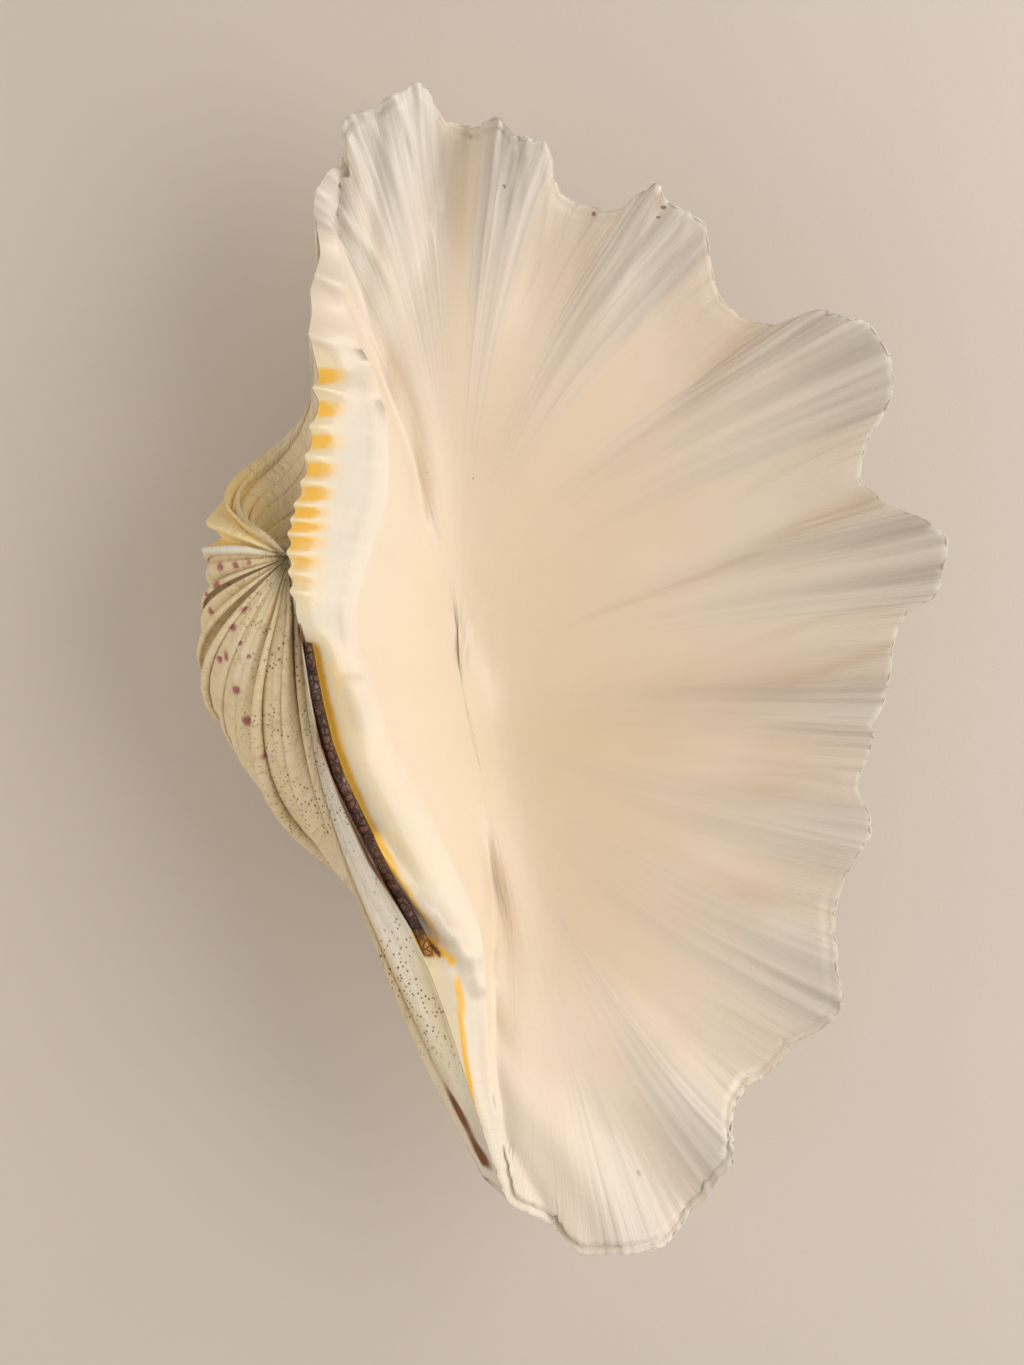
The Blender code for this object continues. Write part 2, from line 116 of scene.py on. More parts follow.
# Outline of the rim, clockwise from the beak: pixel x, pixel y, height over the hinge plane in millimetres.
RIM = (
    (288, 556, 2), (289, 532, 2), (295, 505, 2), (303, 478, 2), (310, 430, 1), (316, 402, 1),
    (313, 388, 3), (317, 373, 0), (313, 352, 0), (307, 336, 4), (311, 312, 0), (309, 290, 1),
    (314, 274, 6), (320, 255, -2), (318, 236, -2), (312, 212, 3), (315, 190, 7), (328, 170, 0),
    (343, 161, -3), (341, 140, 1), (342, 124, 5), (352, 110, 8), (364, 112, 7), (377, 106, 4),
    (386, 98, 6), (391, 94, 9), (405, 91, 8), (411, 82, 9), (419, 81, 9), (427, 88, 7), (437, 105, 2),
    (448, 121, -4), (460, 125, -6), (474, 127, -6), (485, 123, -2), (497, 114, 7), (504, 124, 6),
    (513, 131, 8), (522, 137, 8), (545, 140, 8), (551, 152, 4), (554, 173, -2), (561, 195, -8),
    (580, 203, -9), (600, 208, -8), (622, 210, -4), (636, 195, 2), (654, 187, 8), (659, 179, 11),
    (663, 196, 10), (673, 204, 9), (700, 217, 8), (708, 228, 6), (710, 257, 0), (717, 290, -6),
    (726, 305, -10), (752, 322, -10), (776, 325, -8), (796, 317, -1), (820, 308, 8), (843, 316, 12),
    (869, 322, 11), (884, 342, 10), (896, 371, 7), (892, 400, 3), (878, 426, -1), (867, 444, -5),
    (862, 465, -8), (860, 480, -10), (872, 491, -8), (893, 507, -2), (926, 519, 9), (949, 537, 12),
    (947, 563, 9), (937, 597, 3), (910, 611, -3), (898, 629, -7), (893, 650, -7), (892, 668, -2),
    (889, 690, 4), (884, 706, 6), (875, 722, 5), (875, 740, 1), (867, 760, -5), (859, 780, -7),
    (860, 797, -5), (871, 812, 4), (872, 837, 5), (859, 855, 3), (847, 876, -1), (839, 897, -5),
    (835, 915, -5), (837, 938, 2), (839, 968, 7), (843, 995, 7), (840, 1015, 5), (820, 1031, 1),
    (797, 1042, -2), (784, 1059, -5), (768, 1075, -7), (749, 1088, -7), (737, 1101, -4), (732, 1125, 2),
    (734, 1146, 6), (733, 1165, 7), (717, 1182, 4), (708, 1198, 0), (692, 1210, -3), (681, 1228, -2),
    (665, 1247, 1), (643, 1254, 3), (621, 1255, 3), (605, 1254, 1), (582, 1257, 1), (569, 1245, -1),
    (558, 1232, -2), (542, 1219, -1), (525, 1214, 0), (507, 1203, 0), (494, 1168, 0), (478, 1118, 1),
    (461, 1065, 1), (446, 1018, 1), (430, 975, 2), (412, 935, 2), (382, 883, 2), (350, 820, 2),
    (330, 778, 2), (318, 742, 2), (309, 700, 2), (303, 660, 2), (299, 630, 2), (292, 600, 2),
)
BEAK = (288, 556)
MARGIN_END = (507, 1203, 0)
BOWL_MIDDLE = (458, 700)

# The hinge plate, front end to back: rim pixel, inner edge pixel, fall to it in millimetres.
PLATE = (
    ((312, 212), (330, 222), 2), ((309, 290), (345, 300), 3), ((313, 352), (365, 350), 5),
    ((313, 388), (378, 393), 8), ((310, 430), (387, 434), 10), ((303, 478), (386, 486), 10),
    ((295, 505), (381, 520), 10), ((289, 532), (372, 545), 10), ((288, 556), (363, 567), 9),
    ((292, 600), (351, 606), 8), ((299, 630), (345, 640), 7), ((303, 660), (360, 664), 7),
    ((309, 700), (377, 700), 7), ((318, 742), (384, 742), 7), ((330, 778), (408, 780), 7),
    ((350, 820), (430, 826), 7), ((382, 883), (462, 889), 7), ((412, 935), (481, 930), 6),
    ((430, 975), (486, 982), 5), ((446, 1018), (486, 1030), 4), ((461, 1065), (489, 1075), 4),
    ((478, 1118), (497, 1122), 3), ((494, 1168), (508, 1165), 2), ((507, 1203), (515, 1196), 1),
)
STEEP_PLATE = (4, 18)
# How the plate ends, in rim points, and how its lines are smoothed, in millimetres.
PLATE_END_FADE = 110
HINGE_LEAD = (150, 60)
INWARD_STEP = 0.95
ACROSS_SMOOTHING = 2.5
HINGE_SMOOTHING = 6
HEIGHT_SMOOTHING = 2.0
CRENULATIONS = (391, 427, 457, 483, 505, 520, 534, 553, 573, 592)
CRENULATED_END = 610
CRENULATED_SIDE = 340
LIGAMENT_SPAN = (640, 958)
GROOVE_FADE = 14
TEETH = (
    (((350, 682), (362, 706), (372, 728), (381, 746)), 2.6, 2.4),
    (((374, 842), (405, 888), (430, 913), (454, 939), (478, 968), (484, 990)), 3.0, 3.0),
)

# The solids' own steps, which fix where the valve stands, then the finer ones of this skin.
RIM_POINTS = 4096
SOLID_RAYS = 188
SOLID_PLATE = (0.0, 0.04, 0.07, 0.17, 0.22, 0.55, 1.0)
SOLID_BOWL = (0.06, 0.15, 0.27, 0.42, 0.6, 0.8, 0.96)
SOLID_COIL = tuple(math.radians(a) for a in (0, 8, 22, 38, 56, 76, 97, 118, 138, 155, 168, 178))
# How much closer the rays stand on the small ridges, and wider on the rest of the hinge.
SOLID_CROWDING = (0.9, 0.45)
FINE_CROWDING = (1.1, 0.35)
FLOOR_STEPS = tuple(math.radians(a) for a in range(0, 112, 8))
RAYS = 1440
PLATE_STEPS = (0.0, 0.02, 0.04, 0.055, 0.07, 0.1, 0.135, 0.17, 0.2, 0.235, 0.28, 0.36, 0.46, 0.6, 0.78, 1.0)
BOWL_STEPS = (0.015, 0.035, 0.06, 0.09, 0.12, 0.155, 0.19, 0.23, 0.27, 0.315, 0.36, 0.41, 0.46, 0.515, 0.57,
              0.63, 0.69, 0.75, 0.81, 0.87, 0.92, 0.96, 0.985, 0.996)
COIL_STEPS = tuple(math.radians(a) for a in (0, 2, 6, 12, 20, 29, 39, 50, 61, 72, 83, 94, 104, 113, 121, 129,
                                             136, 143, 149, 155, 160, 165, 169, 173, 176, 178))
BLUR_GRID = 2.0
BLUR_WIDTH = 6.0
BLUR_STEPS = 9
BLUR_SHARES = (0.3, 0.65)
BLUR_SPANS = ((-62, 114), (-148, 154))
GROOVE_PROFILE = ((0.0, 0.04, 0.22, 0.55), (0.0, 1.0, 1.0, 0.0))

AXIS = np.array([-math.sin(HINGE_TILT), math.cos(HINGE_TILT)])
ACROSS = np.array([math.cos(HINGE_TILT), math.sin(HINGE_TILT)])


def plan(x, y, height=0.0):
    """Where a pixel of the photograph lies, in millimetres, for a point at this height."""
    scale = MM_PER_PIXEL * (CAMERA_HEIGHT - np.asarray(height)) / CAMERA_HEIGHT
    right, up = np.asarray(x) - PHOTO_MIDDLE[0], PHOTO_MIDDLE[1] - np.asarray(y)
    return np.stack([right * scale, up * scale], -1)


def seen_at(points):
    """The pixels of the photograph at which points in the hinge plane frame are seen."""
    scale = CAMERA_HEIGHT / (CAMERA_HEIGHT - points[..., 2]) / MM_PER_PIXEL
    return np.stack([PHOTO_MIDDLE[0] + points[..., 0] * scale, PHOTO_MIDDLE[1] - points[..., 1] * scale], -1)


def smoothstep(low, high, x):
    t = np.clip((np.asarray(x, float) - low) / (high - low), 0, 1)
    return t * t * (3 - 2 * t)


def smooth_loop(values, width, step):
    """Blurs values along a closed loop of points that are one step apart."""
    count = len(values)
    gain = np.exp(-2 * (math.pi * np.fft.rfftfreq(count, step) * width) ** 2)
    gain = gain[:, None] if values.ndim == 2 else gain
    return np.fft.irfft(np.fft.rfft(values, axis=0) * gain, count, axis=0)


def loop_noise(seed, short, long, step):
    """Seeded noise round the rim with waves between two lengths, about 1 in height."""
    white = np.random.default_rng(seed).normal(size=RIM_POINTS)
    return unit(smooth_loop(white, short / 4, step) - smooth_loop(white, long / 4, step))


def unit(values):
    return values / values.std()


def sample(loop, index):
    """Values between a loop's points."""
    low = np.floor(index).astype(int)
    part = (index - low)[:, None] if loop.ndim == 2 else index - low
    return loop[low % len(loop)] * (1 - part) + loop[(low + 1) % len(loop)] * part


def run_along(points):
    """How far along a line of points each one lies."""
    return np.concatenate([[0], np.cumsum(np.linalg.norm(np.diff(points, axis=0), axis=1))])


def directions(ways):
    return ways / np.linalg.norm(ways, axis=1)[:, None]


def rim_loop():
    """The rim as evenly spaced points, with how far each lies along it."""
    corners = np.array([(*plan(x, y, z), z) for x, y, z in RIM])
    corners = np.vstack([corners, corners[:1]])
    run = run_along(corners[:, :2])
    at = np.linspace(0, run[-1], RIM_POINTS, endpoint=False)
    line = np.stack([np.interp(at, run, corners[:, i]) for i in range(3)], -1)
    return line, run[-1] / RIM_POINTS


def nearest(loop, pixel):
    return int(np.argmin(np.hypot(*(loop[:, :2] - plan(*pixel)).T)))


def toward_middle(flat, left):
    """Moves places in plan toward the middle of the bowl, left being the share of the way that stays."""
    middle = plan(*BOWL_MIDDLE)
    x, y = (flat - middle).T
    after = y * np.maximum(left, EVEN_FROM) ** BOWL_TAPER * np.minimum(left / EVEN_FROM, 1)
    lean = [BOWL_LEAN * 0.5 * (np.hypot(v, LEAN_SOFTNESS) - v - LEAN_SOFTNESS) for v in (y, after)]
    return middle + np.column_stack([(x - lean[0]) * left + lean[1], after])


def hinge_side(rim, step):
    """For each rim point: the way across the plate, the fall over it, and its share of the hinge."""
    places = [nearest(rim, pixel) for pixel, _, _ in PLATE]
    back = (places[0] - np.arange(RIM_POINTS)) % RIM_POINTS
    order = [int(back[i]) for i in places]
    inner = np.array([plan(*pixel) for _, pixel, _ in PLATE]) - rim[places, :2]
    falls = [fall for _, _, fall in PLATE]
    across = np.stack([np.interp(back, order, inner[:, i]) for i in range(2)], -1)
    fall = np.interp(back, order, falls)
    past = np.where(back > order[-1], np.minimum(back - order[-1], RIM_POINTS - back), 0)
    share = 1 - smoothstep(0, PLATE_END_FADE, past)
    front = (back > order[-1]) & (RIM_POINTS - back < back - order[-1])
    across[front] = inner[0]
    fall[front] = falls[0]
    inward = toward_middle(rim[:, :2], np.full(RIM_POINTS, INWARD_STEP)) - rim[:, :2]
    across = across * share[:, None] + LIP_WIDTH * directions(inward) * (1 - share[:, None])
    across = smooth_loop(across, ACROSS_SMOOTHING, step)
    fall = smooth_loop(fall * share + 1 - share, ACROSS_SMOOTHING, step)
    steep_from, steep_to = order[STEEP_PLATE[0]], order[STEEP_PLATE[1]]
    hinge = smoothstep(order[0] - HINGE_LEAD[0], steep_from, back)
    hinge = hinge * smoothstep(order[-1] + HINGE_LEAD[1], steep_to, back)
    hinge = smooth_loop(hinge, HINGE_SMOOTHING, step)
    return across, fall, np.clip(hinge, 0, 1)


def bumps(rim, step):
    """Height of the small ridges along the front edge."""
    height = np.zeros(RIM_POINTS)
    pixel_y = PHOTO_MIDDLE[1] - rim[:, 1] / MM_PER_PIXEL
    pixel_x = PHOTO_MIDDLE[0] + rim[:, 0] / MM_PER_PIXEL
    near = (pixel_x < CRENULATED_SIDE) & (pixel_y < CRENULATED_END)
    for level in CRENULATIONS:
        away = (pixel_y - level) * MM_PER_PIXEL
        height = np.maximum(height, np.where(near, np.exp(-(away / CRENULATION_WIDTH) ** 2), 0))
    return smooth_loop(height, 0.3, step) * CRENULATION_HEIGHT


def make_rays(count, fine):
    """All that is known at each of the rays that run inward and outward from the rim."""
    line, step = rim_loop()
    rim = smooth_loop(line, RIM_SMOOTHING, step)
    rim[:, 2] = smooth_loop(line[:, 2], HEIGHT_SMOOTHING, step)
    across, fall, hinge = hinge_side(rim, step)
    mean = smooth_loop(line, FOLD_SMOOTHING, step)
    mean[:, 2] = 0
    mean = mean * (1 - hinge[:, None]) + rim * hinge[:, None]
    soft = smooth_loop(line, FOLD_ROUNDING, step)
    ridges = bumps(rim, step)
    pixel_y = PHOTO_MIDDLE[1] - rim[:, 1] / MM_PER_PIXEL
    start, stop = LIGAMENT_SPAN
    groove = smoothstep(-GROOVE_FADE, GROOVE_FADE, pixel_y - start)
    groove = groove * smoothstep(GROOVE_FADE, -GROOVE_FADE, pixel_y - stop) * (hinge > 0.5)
    more, fewer = FINE_CROWDING if fine else SOLID_CROWDING
    crowd = 1 + more * smoothstep(0, 0.3, smooth_loop(ridges, 4, step)) - fewer * hinge * (ridges < 0.05)
    course = rim if fine else mean[:, :2]
    length = np.linalg.norm(np.roll(course, -1, 0) - course, axis=1)
    run = np.concatenate([[0], np.cumsum(length * crowd)])
    index = np.interp(np.linspace(0, run[-1], count, endpoint=False), run, np.arange(len(run)))
    loops = {"rim": rim, "soft": soft, "mean": mean, "across": across, "fall": fall, "hinge": hinge,
             "ridges": ridges, "groove": groove}
    if fine:
        across[:] = smooth_loop(across, PLATE_SMOOTHING, step)
        toothed = smoothstep(0.05, 0.4, smooth_loop(ridges, 3, step))
        scallop = directions(across) * (SCALLOP * toothed * (ridges / CRENULATION_HEIGHT - 0.5))[:, None]
        rim[:, :2] -= scallop
        loops.update(fine_loops(rim, mean, across, hinge, step), scallop=scallop)
    return {name: sample(loop, index) for name, loop in loops.items()}


def bulge(axial):
    """How far the back of the shell stands out beyond the hinge axis, at this place along it."""
    out = 1 - np.exp(-(np.clip(-axial / BULGE_LENGTH, 0, None) ** 1.5))
    return -BULGE * out + BULGE_RETURN * smoothstep(*RETURN_SPAN, -axial)


def margin_line():
    """The hinge margin behind the beak, as places along and across the hinge axis."""
    last = RIM.index(MARGIN_END)
    back = list(RIM[last + 1:])[::-1] + [MARGIN_END]
    offsets = np.array([plan(x, y, z) for x, y, z in [(*BEAK, 2)] + back]) - plan(*BEAK)
    return -(offsets @ AXIS), offsets @ ACROSS


def coil_size(turn):
    """Size of the growing shell at this turn back from the rim, the full shell being 1."""
    flare = FLARE_SHARE * math.exp(-FLARE_SHRINK * turn) + (1 - FLARE_SHARE) * math.exp(-SHRINK * turn)
    return flare * (1 - (turn / COIL_TURN) ** COIL_END)


def outer_folds(turn):
    """How strong the folds are outside at this turn: they soften below the rim and sharpen on the umbo."""
    return 1 - 0.4 * smoothstep(0, 1.2, turn) + 0.35 * smoothstep(1.4, 2.6, turn)


def inner_folds(turn):
    """How strong the folds are inside: they fade toward the smooth middle of the bowl."""
    return 1 - 0.12 * smoothstep(0, 0.5, turn) - 0.7 * smoothstep(0.35, 1.35, turn)


def outside(rays, turns, folds):
    """Rows of points of the outer face, one for each turn about the hinge axis."""
    beak = plan(*BEAK)
    margin_along, margin_across = margin_line()
    rows = []
    for turn in turns:
        size = coil_size(turn)
        soft = smoothstep(0, 0.6, turn)
        edge = rays["rim"] * (1 - soft) + rays["soft"] * soft
        point = rays["mean"] + (edge - rays["mean"]) * folds(turn)
        offset = point[:, :2] - beak
        along, across, height = offset @ AXIS, offset @ ACROSS, point[:, 2]
        lag = AXIAL_LAG * (turn / LAG_PEAK * math.exp(1 - turn / LAG_PEAK)) ** 2 * smoothstep(*LAG_FADE, turn)
        place = along * size - lag * (LAG_AT_HINGE + (1 - LAG_AT_HINGE) * smoothstep(0, LAG_REACH, across))
        reach = across - bulge(along)
        outward = reach * size * math.cos(turn) + height * size * math.sin(turn) + bulge(place)
        level = -reach * size * math.sin(turn) + height * size * math.cos(turn)
        beyond = smoothstep(*STRIP_START, -place)
        level -= STRIP_FALL * smoothstep(0, 0.3, turn) * beyond * np.exp(-reach / STRIP_REACH)
        strip_place = along * size
        share = np.clip((1 - size) / np.maximum(1 + strip_place / MARGIN_LENGTH, 1e-3), 0, 1)
        strip_out = np.interp(-strip_place, margin_along, margin_across) * (1 - share)
        strip_out = strip_out + bulge(strip_place) * share
        strip_level = height * size - STRIP_FALL * share ** 1.5 * smoothstep(*STRIP_START, -strip_place)
        near = smoothstep(*STRIP_WIDTH, across - np.interp(-along, margin_along, margin_across))
        strip = near * smoothstep(0, 4, -along) * smoothstep(*STRIP_END, -along)
        place = place * (1 - strip) + strip_place * strip
        outward = outward * (1 - strip) + strip_out * strip
        level = level * (1 - strip) + strip_level * strip - EDGE_THICKNESS
        flat = beak + place[:, None] * AXIS + outward[:, None] * ACROSS
        rows.append(np.column_stack([flat, level]))
    return rows


def ridge_profile(flat, line, half_width, tail=1.0):
    """1 on a line through flat places, falling to 0 at half_width from it and to tail at its far end."""
    corners = np.array(line, float)
    run = run_along(corners)
    best = np.full(flat.shape[:-1], np.inf)
    along = np.zeros(flat.shape[:-1])
    for i, (start, stop) in enumerate(zip(corners[:-1], corners[1:])):
        way = stop - start
        part = np.clip(((flat - start) @ way) / (way @ way), 0, 1)
        gap = np.linalg.norm(flat - start - part[..., None] * way, axis=-1)
        along = np.where(gap < best, run[i] + (run[i + 1] - run[i]) * part, along)
        best = np.minimum(best, gap)
    fade = 1 + (tail - 1) * along / run[-1]
    return fade * (0.5 + 0.5 * np.cos(math.pi * np.clip(best / half_width, 0, 1)))


def planned(line):
    """A line of pixels as places in millimetres."""
    return [plan(*pixel) for pixel in line]


def floor_finder(rows):
    """A function that gives the height of the outer face straight below places in plan."""
    points, faces = loft(rows, rows[0].mean(0), rows[-1].mean(0))
    skin = [face for face in faces if 0 not in face and len(points) - 1 not in face]
    tree = BVHTree.FromPolygons(points.tolist(), skin)

    def floor(flat):
        levels = np.empty(len(flat))
        for i, (x, y) in enumerate(flat):
            hit = tree.ray_cast(Vector((x, y, -500)), Vector((0, 0, 1)))[0]
            levels[i] = hit.z if hit else np.nan
        return np.where(np.isnan(levels), np.nanmean(levels), levels)

    return floor


def blurred(floor):
    """The same heights as floor gives, smoothed over the plan."""
    x, y = (np.arange(*span, BLUR_GRID) for span in BLUR_SPANS)
    heights = floor(np.array([(a, b) for a in x for b in y])).reshape(len(x), len(y))
    reach = np.arange(-BLUR_STEPS, BLUR_STEPS + 1) * BLUR_GRID
    kernel = np.exp(-0.5 * (reach / BLUR_WIDTH) ** 2)
    kernel = kernel / kernel.sum()
    padded = np.pad(heights, BLUR_STEPS, mode="edge")
    padded = np.apply_along_axis(np.convolve, 0, padded, kernel, "valid")
    heights = np.apply_along_axis(np.convolve, 1, padded, kernel, "valid")

    def smooth_floor(flat):
        a = np.clip((flat[:, 0] - x[0]) / BLUR_GRID, 0, len(x) - 1.001)
        b = np.clip((flat[:, 1] - y[0]) / BLUR_GRID, 0, len(y) - 1.001)
        i, j = a.astype(int), b.astype(int)
        a, b = a - i, b - j
        near = heights[i, j] * (1 - b) + heights[i, j + 1] * b
        far = heights[i + 1, j] * (1 - b) + heights[i + 1, j + 1] * b
        return near * (1 - a) + far * a

    return smooth_floor


def distance(flat, others):
    """How far each place is from the nearest of some others."""
    return np.linalg.norm(flat[:, None] - others[None, ::3], axis=2).min(1)


def inside(rays, plate_steps, bowl_steps, fine=False):
    """Rows of points of the inner face, from the rim to near the middle of the bowl."""
    rim, hinge = rays["rim"], rays["hinge"]
    wide = np.linalg.norm(rays["across"], axis=1)
    rows = []
    for part in plate_steps:
        point = rim.copy()
        point[:, :2] += rays["across"] * part
        point[:, 2] -= rays["fall"] * part ** PLATE_CURVE
        point[:, 2] += rays["ridges"] * np.exp(-(part * wide / CRENULATION_REACH) ** 2)
        point[:, 2] -= GROOVE_DEPTH * rays["groove"] * np.interp(part, *GROOVE_PROFILE)
        if fine:
            point[:, :2] += rays["scallop"] * (1 - np.exp(-(part * wide / SCALLOP_REACH) ** 2))[:, None]
        rows.append(point)
    start = rows[-1]
    floor = floor_finder(outside(rays, FLOOR_STEPS, inner_folds))
    smooth_floor = blurred(floor) if fine else None

    def levels(flat, part):
        level = floor(flat)
        if fine:
            level = level + (smooth_floor(flat) - level) * smoothstep(*BLUR_SHARES, part)
        level = level + EDGE_WALL + (MIDDLE_WALL - EDGE_WALL) * smoothstep(0, MIDDLE_FROM, part)
        away = np.linalg.norm(flat - start[:, :2], axis=1)
        drop = start[:, 2] - WALL_SLOPE * away ** 2 / (away + WALL_EASE)
        raised = 0.5 * (level + drop + np.sqrt((level - drop) ** 2 + WALL_ROUND ** 2))
        return level + (raised - level) * hinge, away

    edge_step = (levels(start[:, :2], 0.0)[0] - start[:, 2]) * smoothstep(0.3, 0.8, hinge) * fine
    pace = smooth_loop(hinge, PACE_SMOOTHING, 1.0) if fine else hinge
    even_start = smooth_loop(start[:, :2], START_SMOOTHING, 1.0) if fine else start[:, :2]
    for part in bowl_steps:
        gone = part * (1 - pace) + part ** HINGE_PACE * pace
        flat = toward_middle(even_start, 1 - gone)
        flat += (start[:, :2] - even_start) * np.exp(-(gone / START_FADE) ** 2)[:, None]
        level, away = levels(flat, part)
        level -= edge_step * np.exp(-(away / EDGE_BLEND) ** 2)
        rows.append(np.column_stack([flat, level]))
    if fine:
        smooth_bowl = blurred(floor_finder(rows))
        for row in rows[len(plate_steps):]:
            flat = row[:, :2]
            share = smoothstep(*WALL_FOOT, distance(flat, start[hinge > 0.8, :2]))
            share = share * smoothstep(*FOLD_FADE, distance(flat, rim[hinge < 0.2, :2]))
            row[:, 2] += (smooth_bowl(flat) - row[:, 2]) * share
    for line, half_width, height in TEETH:
        for row in rows[2:len(plate_steps) + 2]:
            row[:, 2] += height * ridge_profile(row[:, :2], planned(line), half_width)
    if fine:
        for line, half_width, height in FRONT_RIDGES:
            for row in rows:
                row[:, 2] += height * ridge_profile(row[:, :2], planned(line), half_width, RIDGE_TAIL)
    return rows


REST = Matrix.Rotation(REST_TURN_Y, 3, "Y") @ Matrix.Rotation(REST_TURN_X, 3, "X")


def at_rest(points):
    """Turns points from the hinge plane's frame to the way the valve lies."""
    return points @ np.array(REST).T


def loft(rows, first_cap, last_cap):
    """Points and faces of a closed skin through rows of equal length, with a point at each end."""
    count = len(rows[0])
    points = np.vstack([first_cap[None], *rows, last_cap[None]])
    faces = []
    for ray in range(count):
        after = (ray + 1) % count
        faces.append((0, 1 + ray, 1 + after))
        for row in range(len(rows) - 1):
            a, b = 1 + row * count + ray, 1 + row * count + after
            faces.append((a, a + count, b + count, b))
        end = 1 + (len(rows) - 1) * count
        faces.append((end + after, end + ray, len(points) - 1))
    return points, faces


def resting_shift():
    """What puts the solids' box on the floor and over the origin, from the solids' own coarse steps."""
    rays = make_rays(SOLID_RAYS, False)
    outer = outside(rays, SOLID_COIL, outer_folds)
    inner = inside(rays, SOLID_PLATE, SOLID_BOWL)
    points = at_rest(np.vstack(outer + inner))
    middle = (points[:, :2].min(0) + points[:, :2].max(0)) / 2
    return np.array([*middle, points[:, 2].min() + WEAR_HEIGHT])


# Fine relief of the skin, in millimetres.
STRIA_HEIGHT = 0.34
STRIA_REACH = 30.0
CHIP_DEPTH = 0.55
RIBLET_LENGTH = 31.0
FRONT_RIB_CROWDING = 1.2
RIBLET_HEIGHT = 0.6
UMBO_RIB_HEIGHT = 1.5
KEEL_HEIGHT = 1.1
LIP_ROUND = 0.35
SCALLOP = 1.1
SCALLOP_REACH = 3.0
EDGE_BLEND = 4.0
WALL_FOOT = (5.0, 13.0)
FOLD_FADE = (18.0, 42.0)
PACE_SMOOTHING = 45
START_SMOOTHING = 9
START_FADE = 0.1
PLATE_SMOOTHING = 7.0
RIDGE_TAIL = 0.15
# Low ridges, on the front lobes but for the last: pixels along each, half width and height in millimetres.
FRONT_RIDGES = (
    (((315, 193), (335, 205), (360, 235), (383, 262), (395, 300)), 2.0, 1.3),
    (((312, 275), (335, 288), (355, 310), (372, 340)), 2.0, 1.2),
    (((307, 336), (330, 345), (347, 367), (356, 385)), 1.8, 1.2),
    (((313, 388), (330, 391), (350, 399)), 1.5, 0.8),
    (((342, 124), (356, 165), (370, 200), (384, 235)), 1.8, 1.0),
    (((364, 112), (388, 160), (404, 205), (414, 260)), 1.8, 0.8),
    (((390, 94), (411, 140), (424, 180), (432, 240)), 1.8, 1.1),
    (((416, 84), (431, 130), (438, 180), (444, 240)), 1.6, 0.9),
    (((497, 114), (498, 170), (490, 240), (478, 300)), 1.5, 0.9),
    (((514, 131), (514, 190), (506, 260)), 1.4, 0.8),
    (((526, 138), (528, 200), (518, 280)), 1.4, 0.8),
    (((545, 140), (549, 200), (540, 270)), 1.6, 0.9),
    (((658, 180), (640, 240), (602, 320), (560, 390)), 1.9, 1.1),
    (((690, 213), (668, 270), (625, 345)), 1.7, 0.8),
    (((382, 748), (375, 735), (362, 712), (354, 690)), 1.6, 1.3),
)


# Seeds and wave lengths of the rim's noise, in millimetres.
PATCH_WAVES = (11, 14.0, 60.0)
FINE_WAVES = (3, 2.4, 4.8)
BROAD_WAVES = (4, 6.0, 14.0)
SMALL_CHIPS = (5, 2.0, 5.0)
LARGE_CHIPS = (6, 6, 16)
WOBBLE_SEED = 8
WOBBLE_SMOOTHING = 16
FRONT_SIDE = 350


def fine_loops(rim, mean, across, hinge, step):
    """Striae, chips and riblets round the rim. The chips cut the rim back in place."""
    free = smooth_loop((1 - hinge) ** 2, 3, step)
    patches = smoothstep(-0.8, 1.2, loop_noise(*PATCH_WAVES, step))
    striae = np.tanh(0.75 * loop_noise(*FINE_WAVES, step)) * (0.25 + 0.75 * patches)
    striae = striae + 0.55 * np.tanh(loop_noise(*BROAD_WAVES, step))
    chips = 0.45 * loop_noise(*SMALL_CHIPS, step) + 0.7 * loop_noise(*LARGE_CHIPS, step)
    chips = np.clip(chips - 0.35, 0, 3)
    rim[:, :2] += directions(across) * (CHIP_DEPTH * chips * free)[:, None]
    length = np.linalg.norm(np.roll(mean[:, :2], -1, 0) - mean[:, :2], axis=1)
    length *= 1 + FRONT_RIB_CROWDING * (seen_at(rim)[:, 0] < FRONT_SIDE) * (seen_at(rim)[:, 1] < BEAK[1])
    turns = np.cumsum(length) / length.sum()
    white = np.random.default_rng(WOBBLE_SEED).normal(size=RIM_POINTS)
    wobble = unit(smooth_loop(white, WOBBLE_SMOOTHING, step))
    around = math.pi * round(length.sum() / RIBLET_LENGTH) * turns + 0.35 * wobble
    ribs = 2 * np.abs(np.sin(around)) ** 0.7 - 1.0
    tongue = smoothstep(-4, 5, smooth_loop(rim[:, 2], 1.5, step))
    return {"free": free, "striae": striae, "riblets": ribs, "tongue": tongue}


def face_normals(grid):
    """Unit normals of a grid of rows and rays that closes on itself along the rays."""
    down = np.gradient(grid, axis=0)
    along = np.roll(grid, -1, 1) - np.roll(grid, 1, 1)
    normal = np.cross(down, along)
    return normal / np.maximum(np.linalg.norm(normal, axis=2)[..., None], 1e-6)


